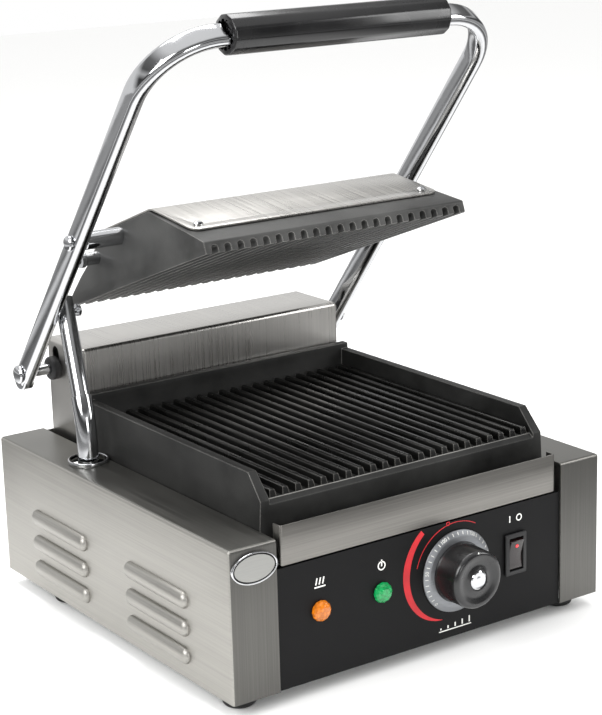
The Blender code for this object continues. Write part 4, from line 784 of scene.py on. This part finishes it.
# %% The ribs
rib = cube("rib", (-2.6 * MM, RIB_FEET, GROOVE_FLOOR - 0.6 * MM), (2.6 * MM, POCKET_REAR - 4 * MM, RIB_TOP))
bisect(rib, (0, RIB_FEET, GROOVE_FLOOR), (0, -5.5, 1.4))
for side in (-1, 1):
    bisect(rib, (side * 2.5 * MM, 0, GROOVE_FLOOR), (side * 5.5, 0, 0.7))
select_edges(rib, lambda a, b: min(a.z, b.z) > RIB_TOP - 1e-5)
bpy.ops.mesh.bevel(offset=1.25 * MM, segments=4)
leave_edit()
ribs = copies(rib, [((index - 10.5) * RIB_PITCH, 0, 0) for index in range(22)])
finish_piece(smooth(join("lower_plate_ribs", ribs), 50), "lower_plate_ribs", iron_ribs, "base", "cast_iron")

# %% [markdown]
# ## The upper plate and its cover
#
# The upper casting is a low hip roof: two slopes rise to a flat ridge, and its ribs point down at the food. It is
# modelled level, in the plate's own place round its two rods, and then tilted with them. A sheet cover is folded
# over the roof and held by four small screws. The notches along the front edge are the ends of the grooves.

# %% Cast the upper plate
ROD_PLACE = Vector((0, middle_of("plate_rod_left").y, middle_of("plate_rod_left").z))
PLATE_TILT = (math.radians(-20), 0, 0)
UPPER_HALF = 104.3 * MM
UPPER_LOW = -33.9 * MM
UPPER_FRONT = -107.8 * MM
UPPER_REAR = 83.8 * MM
RIDGE = 7.6 * MM
upper = cube("upper_casting", (-UPPER_HALF, UPPER_FRONT, UPPER_LOW), (UPPER_HALF, UPPER_REAR, RIDGE))
for end, way in ((UPPER_FRONT, -1), (UPPER_REAR, 1)):
    bisect(upper, (0, end, UPPER_LOW + 8.5 * MM), (0, way * 9, 18))
    bisect(upper, (0, end - way * 18 * MM, UPPER_LOW + 17.5 * MM), (0, way * 24, 46 if way < 0 else 40))
for side in (-1, 1):
    bisect(upper, (side * UPPER_HALF, 0, UPPER_LOW + 8.5 * MM), (side, 0, 0.121))
groove = cube("groove", (-2.2 * MM, UPPER_FRONT - 0.01, UPPER_LOW - 0.01),
              (2.2 * MM, UPPER_REAR + 0.01, UPPER_LOW + 5.5 * MM))
select_edges(groove, lambda a, b: abs(a.y - b.y) > 0.1 and a.z > UPPER_LOW)
bpy.ops.mesh.bevel(offset=1.9 * MM, segments=4)
leave_edit()
grooves = join("grooves", copies(groove, [((index - 10) * RIB_PITCH, 0, 0) for index in range(21)]))
boolean(upper, grooves)
round_edges(upper, 0.9 * MM, segments=2, angle=38)
put(upper, ROD_PLACE, PLATE_TILT)
finish_piece(smooth(upper, 40), "upper_plate_casting", iron_upper, "upper_press", "cast_iron", "upper_plate")

# %% Fold the upper cover
COVER_HALF = 99.3 * MM
cover_line = [(-90.3, -16.1), (-43.8, 7.9), (25.8, 7.9), (66.3, -16.1)]
deselect()
bpy.ops.mesh.primitive_plane_add(size=1.0)
cover = bpy.context.object
bpy.ops.object.mode_set(mode='EDIT')
shape = bmesh.from_edit_mesh(cover.data)
for vert in shape.verts:
    y, z = cover_line[0] if vert.co.y < 0 else cover_line[1]
    vert.co = (math.copysign(COVER_HALF, vert.co.x), y * MM, z * MM)
bmesh.update_edit_mesh(cover.data)
leave_edit()
for (y0, z0), (y1, z1) in zip(cover_line[1:], cover_line[2:]):
    select_edges(cover, lambda a, b: abs(a.y - y0 * MM) < 1e-5 and abs(b.y - y0 * MM) < 1e-5)
    extrude_to((0, (y1 - y0) * MM, (z1 - z0) * MM))
    leave_edit()
select_edges(cover, lambda a, b: abs(a.x - b.x) > 0.1 and a.z > 5 * MM)
bpy.ops.mesh.bevel(offset=3 * MM, segments=5)
leave_edit()
make_active(cover)
bpy.ops.object.mode_set(mode='EDIT')
bpy.ops.mesh.select_mode(type='VERT')
bpy.ops.mesh.select_all(action='DESELECT')
shape = bmesh.from_edit_mesh(cover.data)
for vert in shape.verts:
    vert.select_set(vert.co.z < -15 * MM)
bmesh.update_edit_mesh(cover.data)
bpy.ops.mesh.bevel(offset=7 * MM, segments=6, affect='VERTICES')
leave_edit()
face_outwards(cover)
if sum(face.normal.z for face in cover.data.polygons) < 0:
    make_active(cover)
    bpy.ops.object.mode_set(mode='EDIT')
    bpy.ops.mesh.select_all(action='SELECT')
    bpy.ops.mesh.flip_normals()
    leave_edit()
modify(cover, 'SOLIDIFY', thickness=1.2 * MM, offset=1.0, use_even_offset=True)
put(cover, ROD_PLACE, PLATE_TILT)
for word in ("front_left", "front_right", "rear_left", "rear_right"):
    screw_at = middle_of("cover_screw_" + word)
    out = Vector((0, -0.1315, 0.9913)) if "front" in word else Vector((0, 0.7768, 0.6298))
    boolean(cover, cylinder("screw_hole", 1.8 * MM, screw_at - out * 0.008, screw_at + out * 0.008, 24))
round_edges(cover, 0.25 * MM, segments=2, angle=50)
finish_piece(smooth(cover, 32), "upper_cover_sheet", steel_cover, "upper_press", "brushed_steel", "upper_cover")

# %% [markdown]
# ## The rear cover
#
# The box behind the plates hides the hinge and its springs. It is folded from one sheet, with soft bends, and has a
# round hole each side for the hinge bush, opened upwards into a slot so that the shaft can be lowered in.

# %% Fold the rear cover
BACK_LOW, BACK_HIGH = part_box("rear_cover")
PIVOT = middle_of("pivot_shaft")
housing = cube("rear_cover_sheet", BACK_LOW, BACK_HIGH)
select_faces(housing, lambda middle, normal: normal.z < -0.9)
bpy.ops.mesh.delete(type='FACE')
leave_edit()
round_edges(housing, 3.2 * MM, segments=6)
modify(housing, 'SOLIDIFY', thickness=SHEET, offset=-1.0, use_even_offset=True)
boolean(housing, cylinder("bush_hole", 6.1 * MM, (-0.2, PIVOT.y, PIVOT.z), (0.2, PIVOT.y, PIVOT.z)))
slot_top = PIVOT.z + 10.9 * MM
boolean(housing, cube("slot", (-0.2, PIVOT.y - 4.6 * MM, PIVOT.z), (0.2, PIVOT.y + 4.6 * MM, slot_top)))
boolean(housing, cylinder("slot_end", 4.6 * MM, (-0.2, PIVOT.y, slot_top), (0.2, PIVOT.y, slot_top)))
finish_piece(smooth(housing, 32), "rear_cover_sheet", steel_cover, "base", "brushed_steel", "rear_cover")

# %% [markdown]
# ## The handle
#
# A flat oval tube is bent into a U. A ring with the tube's section is extruded along the arm, spun through the
# bend, extruded across, spun again, and extruded back, which is the order a tube bender works in. The arm's lower
# ends are pressed round where they turn on the hinge.

# %% Bend the tube
ARM_TURN = (math.radians(-51.1), 0, 0)
ARM_X = 134.1 * MM
BEND = 45 * MM
REACH = 316.9 * MM
ARM_TAIL = 6 * MM
TUBE_HALF = 4.8 * MM
thin, broad = TUBE_HALF, 3.7 * MM
section = [(thin * math.cos(a), broad * (1 if math.sin(a) > 0 else -1) + thin * math.sin(a))
           for a in [2 * math.pi * (step + 0.5) / 28 for step in range(28)]]


def spin_end(degrees, steps, centre, axis):
    """Turns the selected end about an axis, right-handed, drawing a bend behind it. The operator counts its
    angle clockwise, so the sign is turned round."""
    bpy.ops.mesh.spin(steps=steps, angle=-math.radians(degrees), center=centre, axis=axis)


tube = open_ring("handle_tube_bent", [(x + ARM_X, z) for x, z in section])
bpy.ops.transform.translate(value=(0, ARM_TAIL, 0))
extrude_to((0, -(REACH - BEND) - ARM_TAIL, 0))
spin_end(-90, 14, (ARM_X - BEND, -(REACH - BEND), 0), (0, 0, 1))
extrude_to((-2 * (ARM_X - BEND), 0, 0))
spin_end(-90, 14, (-(ARM_X - BEND), -(REACH - BEND), 0), (0, 0, 1))
extrude_to((0, (REACH - BEND) + ARM_TAIL, 0))
leave_edit()
close_tube(tube)
low_x = min(v.co.x for v in tube.data.vertices)
print("tube spans", round(low_x * 1000, 1), "to", round(max(v.co.x for v in tube.data.vertices) * 1000, 1), "mm")
ends = []
for side in (-1, 1):
    end = cylinder("arm_end", 8.5 * MM, (side * ARM_X - 4 * MM, ARM_TAIL, 0), (side * ARM_X + 4 * MM, ARM_TAIL, 0))
    ends.append(round_edges(end, 1.4 * MM, segments=4))
tube = join("handle_tube_bent", [tube] + ends)
put(tube, PIVOT, ARM_TURN)
finish_piece(smooth(tube, 40), "handle_tube_bent", bright_chrome, "handle", "chrome", "handle_tube")

# %% [markdown]
# ## The grip
#
# A phenolic sleeve is moulded round the cross bar: twelve broad flats with soft corners, and an end face sunk a
# little round the tube. A 12-sided cylinder gives the flats, a bevel their soft corners, and an inset the sunk end.

# %% Mould the grip
grip = cylinder("grip_sleeve", 13 * MM, (-84 * MM, -REACH, 0), (84 * MM, -REACH, 0), 12)
round_edges(grip, 1.3 * MM, segments=3, angle=20)
for side in (-1, 1):
    select_faces(grip, lambda middle, normal: normal.x * side > 0.9 and abs(middle.x) > 83.9 * MM)
    bpy.ops.mesh.inset(thickness=2.2 * MM)
    extrude_to((-side * 2.5 * MM, 0, 0))
    leave_edit()
bore = cube("grip_bore", (-0.1, -REACH - 5.2 * MM, -8.9 * MM), (0.1, -REACH + 5.2 * MM, 8.9 * MM))
select_edges(bore, lambda a, b: abs(a.x - b.x) > 0.1)
bpy.ops.mesh.bevel(offset=4.5 * MM, segments=6)
leave_edit()
boolean(grip, bore)
put(grip, PIVOT, ARM_TURN)
finish_piece(smooth(grip, 30), "grip_sleeve", grip_phenolic, "handle", "grip_plastic", "grip")

# %% [markdown]
# ## The conduit
#
# The leads of the upper plate run up a chromed tube. It leaves the casing upright through a wider polished sleeve,
# leans back at a bend, and ends at a bolt inside the left arm. The same ring, extruded and spun, makes it, and the
# step where the sleeve ends is one short extrusion scaled down.

# %% Bend the conduit
CONDUIT_BOLT = Vector((-120.85, 99.56, 207.71)) * MM
CONDUIT_FOOT = Vector((-129.6, 62.55, 92.0)) * MM
KINK_Z = 137 * MM
KINK_ROOM = 18 * MM
SLEEVE_RADIUS = 7.2 * MM
TUBE_SHARE = 0.88
lean = CONDUIT_BOLT - Vector((CONDUIT_FOOT.x, CONDUIT_FOOT.y, KINK_Z))
lean_angle = math.degrees(lean.angle(Vector((0, 0, 1))))
level = Vector((lean.x, lean.y, 0)).normalized()
bend_radius = KINK_ROOM / math.tan(math.radians(lean_angle / 2))
deselect()
bpy.ops.mesh.primitive_circle_add(vertices=36, radius=SLEEVE_RADIUS, location=CONDUIT_FOOT)
conduit = bpy.context.object
bpy.ops.object.transform_apply(location=True, rotation=True, scale=True)
bpy.ops.object.mode_set(mode='EDIT')
bpy.ops.mesh.select_mode(type='EDGE')
bpy.ops.mesh.select_all(action='SELECT')
bend_start = KINK_Z - KINK_ROOM
extrude_to((0, 0, bend_start - CONDUIT_FOOT.z))
bend_centre = Vector((CONDUIT_FOOT.x, CONDUIT_FOOT.y, bend_start)) + level * bend_radius
spin_end(lean_angle, 8, bend_centre, Vector((0, 0, 1)).cross(level))
unit = lean.normalized()
sleeve_end = Vector((CONDUIT_FOOT.x, CONDUIT_FOOT.y, KINK_Z)) + unit * KINK_ROOM
extrude_to(unit * 1.5 * MM)
extrude_to(unit * 0.4 * MM)
bpy.ops.transform.resize(value=(TUBE_SHARE, TUBE_SHARE, TUBE_SHARE), center_override=sleeve_end + unit * 1.9 * MM)
extrude_to(CONDUIT_BOLT + unit * 10 * MM - (sleeve_end + unit * 1.9 * MM))
leave_edit()
close_tube(conduit)
print("conduit top at", [round(c * 1000, 1) for c in max((v.co for v in conduit.data.vertices), key=lambda c: c.z)])
finish_piece(smooth(conduit, 40), "conduit_bent", bright_chrome, "conduit", "chrome", "lead_conduit")

flange_at = middle_of("conduit_escutcheon")
flange = cylinder("conduit_flange", 14 * MM, (flange_at.x, flange_at.y, CASE_TOP + 0.3 * MM),
                  (flange_at.x, flange_at.y, CASE_TOP + 3.0 * MM), 64)
through = Vector((0, 0, 10 * MM))
boolean(flange, cylinder("opening", CONDUIT_OPENING, flange_at - through, flange_at + through, 64))
round_edges(flange, 0.55 * MM, segments=3, angle=50)
finish_piece(smooth(flange, 40), "conduit_flange", bright_chrome, "base", "chrome", "conduit_escutcheon")

# %% [markdown]
# ## The drip tray
#
# Fat runs over the plate's lip into a shallow tray. Its front is a tall strip, folded back at both ends, which is
# also what one pulls it out by. The folds are a bevel on a box with three sides removed.

# %% Fold the drip tray
TRAY_LOW, TRAY_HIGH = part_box("drip_tray")
strip = cube("tray_strip", TRAY_LOW, (TRAY_HIGH.x, TRAY_LOW.y + 8 * MM, TRAY_HIGH.z))
select_faces(strip, lambda middle, normal: normal.y > 0.9 or abs(normal.z) > 0.9)
bpy.ops.mesh.delete(type='FACE')
leave_edit()
round_edges(strip, 1.8 * MM, segments=4)
modify(strip, 'SOLIDIFY', thickness=SHEET, offset=-1.0, use_even_offset=True)
boolean(strip, cube("runner_room", (-0.2, TRAY_LOW.y + 2.5 * MM, TRAY_LOW.z - 0.01),
                    (0.2, TRAY_LOW.y + 0.02, TRAY_LOW.z + 1.5 * MM)))
round_edges(strip, 0.35 * MM, segments=2, angle=60)
tray_box = cube("tray_box", (-107 * MM, TRAY_LOW.y + 1.25 * MM, TRAY_LOW.z + 1.2 * MM),
                (107 * MM, TRAY_HIGH.y, TRAY_LOW.z + 11.2 * MM))
select_faces(tray_box, lambda middle, normal: normal.z > 0.9)
bpy.ops.mesh.delete(type='FACE')
leave_edit()
round_edges(tray_box, 1.5 * MM, segments=3)
modify(tray_box, 'SOLIDIFY', thickness=1.0 * MM, offset=-1.0, use_even_offset=True)
tray_sheet = join("drip_tray_sheet", [strip, tray_box])
finish_piece(smooth(tray_sheet, 32), "drip_tray_sheet", steel_strip, "tray", "brushed_steel", "drip_tray")

# %% [markdown]
# ## The thermostat dial
#
# The dial is three turned pieces: a silvered skirt with the scale, a black knob with a hollow ring in its face, and
# a bright centre. Each is a lathe job: a cone is extruded and scaled, ring after ring, along its section. The scale
# is one tick, copied round the axis, and six numerals, laid on the skirt's sloping edge.

# %% Turn the dial
KNOB_AT = Vector((25.5 * MM, TRAY_LOW.y, CASE_BOTTOM + 45.5 * MM))


def turned_mm(name, rings, place, turn, sides=64, angle=32):
    """A lathe piece from rings in millimetres, put in place."""
    piece = lathe(name, [(radius * MM, height * MM) for radius, height in rings], sides)
    return smooth(put(piece, place, turn), angle)


skirt = turned_mm("dial_skirt_turned", [(27.4, 0.3), (28.0, 0.7), (27.8, 1.3), (24.3, 3.1), (23.6, 3.3), (4.0, 3.3)],
                  KNOB_AT, FACING_FRONT, 96)
finish_piece(skirt, "dial_skirt_turned", dial_silver, "knob", "dial_grey", "dial_skirt")
knob = turned_mm("knob_turned", [(20.6, 3.6), (20.4, 4.6), (19.9, 5.4), (19.6, 20.6), (19.2, 22.0), (18.2, 23.1),
                                 (16.8, 23.5), (15.4, 23.3), (13.2, 22.3), (11.0, 21.8), (9.2, 22.0), (8.0, 22.7),
                                 (7.3, 22.9), (7.0, 22.3)], KNOB_AT, FACING_FRONT, 96)
finish_piece(knob, "knob_turned", knob_phenolic, "knob", "knob_plastic", "knob_cap")
centre = turned_mm("knob_centre_turned", [(6.3, 22.3), (6.3, 22.9), (5.4, 23.4), (4.4, 23.2), (3.2, 23.1),
                                          (2.2, 23.4), (0.6, 23.5)], KNOB_AT, FACING_FRONT)
finish_piece(centre, "knob_centre_turned", bright_chrome, "knob", "chrome", "knob_insert")

# %% The scale on the dial
SCALE_SLOPE = math.atan2(1.8, 3.5)
SCALE_START = 225
SCALE_RADIUS = 26.0 * MM
ROUND_START = SCALE_START - 90
tick = cube("tick", (-0.25 * MM, -1.1 * MM, 0), (0.25 * MM, 1.1 * MM, 0.12 * MM))
put(tick, (0, SCALE_RADIUS, 2.28 * MM), (-SCALE_SLOPE, 0, 0))
angles = [math.radians(ROUND_START - 9 * step) for step in range(31) if step % 6]
marks = copies(tick, [(0, 0, 0)] * len(angles), [(0, 0, angle) for angle in angles])
for step, numeral in enumerate(("0", "50", "100", "150", "200", "250")):
    deselect()
    bpy.ops.object.text_add()
    number = bpy.context.object
    number.data.body = numeral
    number.data.size = 3.4 * MM
    number.data.align_x = 'CENTER'
    number.data.align_y = 'CENTER'
    number.data.extrude = 0.05 * MM
    bpy.ops.object.convert(target='MESH')
    put(bpy.context.object, (0, SCALE_RADIUS, 2.34 * MM), (-SCALE_SLOPE, 0, 0))
    put(bpy.context.object, (0, 0, 0), (0, 0, math.radians(ROUND_START - 54 * step)))
    marks.append(bpy.context.object)
pointer = cube("pointer", (-0.4 * MM, 17.2 * MM, 22.9 * MM), (0.4 * MM, 19.9 * MM, 23.2 * MM))
bisect(pointer, (0, 18.5 * MM, 23.2 * MM), (0, 0.6, 1))
scale = join("dial_scale", marks + [pointer])
put(scale, KNOB_AT, FACING_FRONT)
finish_piece(scale, "dial_scale", white_ink, "knob", "dial_grey")

# %% [markdown]
# ## Lamps and switch
#
# The two signal lamps are dyed domes with flats moulded in, so they are turned with only twelve sides and kept
# unsmoothed. The rocker is a block whose front is pressed hollow between its two ends, in a frame with a soft edge.

# %% Lamp domes
DOME = [(6.9, 0.3), (7.0, 1.0), (6.5, 2.4), (5.2, 3.6), (3.2, 4.3), (1.2, 4.5)]
for word, x, finish, paint in (("hot", -83, amber_lens, "orange_lens"), ("power", -35, green_lens, "green_lens")):
    dome = turned_mm(word + "_lamp_dome", DOME, (x * MM, KNOB_AT.y, KNOB_AT.z), FACING_FRONT, 12, 5)
    finish_piece(dome, word + "_lamp_dome", finish, "base", paint, word + "_lamp_lens")

# %% Switch
SWITCH_AT = Vector((75.7 * MM, KNOB_AT.y - 0.3 * MM, KNOB_AT.z))
bezel = cube("switch_bezel", SWITCH_AT + Vector((-9, -2, -14.5)) * MM, SWITCH_AT + Vector((9, 0, 14.5)) * MM)
round_edges(bezel, 0.9 * MM, segments=3)
switch_block = cube("block", SWITCH_AT + Vector((-7, -0.5, -12.6)) * MM, SWITCH_AT + Vector((7, 22, 12.6)) * MM)
boolean(bezel, switch_block, 'UNION')
boolean(bezel, cube("well", SWITCH_AT + Vector((-6, -20, -11.6)) * MM, SWITCH_AT + Vector((6, 8, 11.6)) * MM))
finish_piece(smooth(bezel, 32), "switch_bezel", housing_nylon, "base", "black_plastic", "switch_body")

rocker = cube("rocker_pressed", Vector((-5.6, -3.7, -10.2)) * MM, Vector((5.6, 1.5, 10.2)) * MM)
select_edges(rocker, lambda a, b: abs(a.z - b.z) > 0.01)
bpy.ops.mesh.subdivide(number_cuts=7)
shape = bmesh.from_edit_mesh(rocker.data)
for vert in shape.verts:
    if vert.co.y < 0:
        vert.co.y += 1.4 * MM * (1 - (vert.co.z / (10.2 * MM)) ** 2)
bmesh.update_edit_mesh(rocker.data)
leave_edit()
round_edges(rocker, 0.5 * MM, segments=3, angle=40)
ROCKER_AT = SWITCH_AT + Vector((0, 1.2 * MM, 0))
ROCKER_TURN = (math.radians(6), 0, 0)
put(rocker, ROCKER_AT, ROCKER_TURN)
finish_piece(smooth(rocker, 35), "rocker_pressed", rocker_red, "rocker", "rocker_plastic", "switch_rocker")
pilot = lathe("rocker_pilot", [(1.3 * MM, 0), (1.2 * MM, 0.5 * MM), (0.5 * MM, 0.8 * MM)], 20)
put(pilot, Vector((0, -2.7, 6.1)) * MM, FACING_FRONT)
put(pilot, ROCKER_AT, ROCKER_TURN)
pilot_lens = lens("red_pilot_polycarbonate", "#E8323A", 0.8)
finish_piece(smooth(pilot), "rocker_pilot", pilot_lens, "rocker", "rocker_plastic")

# %% [markdown]
# ## What is printed on the panel
#
# A red crescent grows round the dial, and a fine line leads from it to a small square. Plain symbols stand over
# the lamps and the switch and under the dial. Ink has no thickness to speak of, so each mark is 0.1 mm thick and
# lies on the film.

# %% Panel marks
INK_BACK = KNOB_AT.y - 0.01 * MM
INK_FRONT = KNOB_AT.y - 0.11 * MM


def arc_mark(name, start, stop, radius, half_width, steps=40):
    """A strip bent round the dial. radius and half_width are functions of how far along it is, 0 to 1."""
    deselect()
    bpy.ops.mesh.primitive_grid_add(x_subdivisions=steps, y_subdivisions=1, size=2.0)
    piece = bpy.context.object
    piece.name = name
    bpy.ops.object.mode_set(mode='EDIT')
    shape = bmesh.from_edit_mesh(piece.data)
    for vert in shape.verts:
        along = (vert.co.x + 1) / 2
        angle = math.radians(start + (stop - start) * along)
        reach = (radius(along) - vert.co.y * half_width(along)) * MM
        vert.co = (KNOB_AT.x + reach * math.cos(angle), INK_BACK, KNOB_AT.z + reach * math.sin(angle))
    bmesh.update_edit_mesh(piece.data)
    bpy.ops.mesh.select_all(action='SELECT')
    extrude_to((0, INK_FRONT - INK_BACK, 0))
    leave_edit()
    face_outwards(piece)
    return piece


def bar_mark(x, z, wide, tall, lean=0):
    bar = cube("bar", (-wide / 2 * MM, INK_FRONT, -tall / 2 * MM), (wide / 2 * MM, INK_BACK, tall / 2 * MM))
    return put(bar, (x * MM, 0, z * MM), (0, math.radians(lean), 0))


def ring_mark(x, z, radius, inner):
    ring = cylinder("ring", radius * MM, (x * MM, INK_BACK, z * MM), (x * MM, INK_FRONT, z * MM), 40)
    return boolean(ring, cylinder("inside", inner * MM, (x * MM, INK_BACK + 0.01, z * MM),
                                  (x * MM, INK_FRONT - 0.01, z * MM), 40))


crescent = arc_mark("crescent", 130, 250, lambda t: 42.2 - 8.6 * t * t,
                    lambda t: 2.7 * (1 - t ** 3) * (0.7 + 0.3 * min(1, t / 0.3)) + 0.05)
fine_line = arc_mark("fine_line", 60, 165, lambda t: 33.3, lambda t: 0.22)
square = join("square", [bar_mark(19.1, 90.1, 2.6, 0.5), bar_mark(19.1, 87.9, 2.6, 0.5),
                         bar_mark(18.0, 89.0, 0.5, 2.6), bar_mark(20.2, 89.0, 0.5, 2.6)])
finish_piece(join("panel_red_print", [crescent, fine_line, square]), "panel_red_print", red_ink, "base", "panel_black")

white = [bar_mark(-85.6, 75, 0.9, 4.6, 14), bar_mark(-83, 75, 0.9, 4.6, 14), bar_mark(-80.4, 75, 0.9, 4.6, 14),
         bar_mark(-83, 71.2, 8.4, 0.9), ring_mark(-35, 73.4, 3.1, 2.3), bar_mark(-35, 75.2, 0.9, 4.4),
         bar_mark(71.6, 80, 0.9, 4.6), ring_mark(79.6, 80, 2.5, 1.7), bar_mark(12.5, 17.4, 1.0, 1.2),
         bar_mark(18.5, 17.8, 1.0, 2.0), bar_mark(24.5, 18.2, 1.0, 2.8), bar_mark(30.5, 18.6, 1.0, 3.6),
         bar_mark(36.5, 19.0, 1.0, 4.4), bar_mark(24.5, 15.6, 27.0, 0.7)]
finish_piece(join("panel_white_print", white), "panel_white_print", white_ink, "base", "panel_black")

# %% [markdown]
# ## Badge and feet
#
# The badge is an oval pressing with a raised rim, left blank. The feet are turned rubber, modelled once.

# %% Badge
BADGE_AT = middle_of("badge_blank")
badge = cylinder("badge_pressed", 16.5 * MM, (0, 1.0 * MM, 0), (0, -1.0 * MM, 0), 72)
badge.scale = (1, 1, 10.25 / 16.5)
put(badge)
select_faces(badge, lambda middle, normal: normal.y < -0.9)
bpy.ops.mesh.inset(thickness=0.7 * MM)
bpy.ops.mesh.inset(thickness=0.3 * MM)
bpy.ops.transform.translate(value=(0, 0.35 * MM, 0))
bpy.ops.mesh.inset(thickness=0.9 * MM)
leave_edit()
round_edges(badge, 0.4 * MM, segments=2, angle=60)
put(badge, BADGE_AT)
finish_piece(smooth(badge, 30), "badge_pressed", bright_chrome, "base", "chrome", "badge_blank")
floor_y = BADGE_AT.y - 0.65 * MM
second_finish(badge, panel_film, lambda middle, normal: normal.y < -0.9 and abs(middle.y - floor_y) < 0.05 * MM)
second_finish(badge, badge_silver, lambda middle, normal: normal.y < -0.9 and abs(middle.y - floor_y) < 0.05 * MM
              and (middle - BADGE_AT).length < 3 * MM)

# %% Feet
foot = lathe("foot", [(r * MM, h * MM) for r, h in ((8.6, 0), (9.7, 0.4), (10.6, 1.6), (11, 3.4), (11, 8.4),
                                                  (10.4, 9.4), (4, 9.7))], 40)
words = ("front_left", "front_right", "rear_left", "rear_right")
spots = [middle_of("foot_" + word) for word in words]
for word, piece in zip(words, copies(foot, [(spot.x, spot.y, 0) for spot in spots])):
    finish_piece(smooth(piece), "foot_" + word + "_rubber", foot_rubber, "base", "foot_rubber", "foot_" + word)

# %% [markdown]
# ## Rods, bolts and bushes
#
# The arms turn on domed bolts in black bushes, and two stub rods carry the upper plate. All are turned parts, made
# for the right-hand side and for the left by facing them the other way.

# %% Hinge hardware
ROD = [(5.0, -42.8), (6.0, -41.8), (6.0, -5.7), (5.4, -5.1), (3.2, -5.1), (3.2, 4.8)]
CAP = [(5.0, 0.3), (5.3, 0.7), (5.2, 2.0), (4.4, 2.9), (2.8, 3.35), (0.6, 3.4)]
BOLT = [(3.2, -9.6), (3.2, 0.3), (6.4, 0.3), (6.6, 0.7), (6.5, 1.7), (5.6, 2.8), (3.6, 3.4), (0.8, 3.6)]
BUSH = [(5.8, -7.0), (5.8, 0.3), (8.2, 0.3), (8.5, 0.8), (8.5, 5.0), (7.9, 5.8), (7.0, 6.0)]
COVER_HALF_WIDTH = BACK_HIGH.x
for side, word, turn in ((-1, "left", FACING_LEFT), (1, "right", FACING_RIGHT)):
    rod = turned_mm("rod", ROD, ROD_PLACE + Vector((side * ARM_X, 0, 0)), turn)
    finish_piece(rod, "plate_rod_turned_" + word, bright_chrome, "handle", "chrome", "plate_rod_" + word)
    cap = turned_mm("cap", CAP, ROD_PLACE + Vector((side * (ARM_X + TUBE_HALF), 0, 0)), turn, 40)
    finish_piece(cap, "rod_cap_turned_" + word, bright_chrome, "handle", "chrome", "rod_cap_" + word)
    bolt = turned_mm("bolt", BOLT, PIVOT + Vector((side * (ARM_X + TUBE_HALF), 0, 0)), turn, 40)
    finish_piece(bolt, "pivot_bolt_turned_" + word, bright_chrome, "handle", "chrome", "pivot_bolt_" + word)
    bush = turned_mm("bush", BUSH, PIVOT + Vector((side * COVER_HALF_WIDTH, 0, 0)), turn, 48)
    boolean(bush, cylinder("bore", 4.2 * MM, (-0.2, PIVOT.y, PIVOT.z), (0.2, PIVOT.y, PIVOT.z)))
    finish_piece(smooth(bush), "pivot_bush_turned_" + word, housing_nylon, "base", "black_plastic",
                 "pivot_bush_" + word)
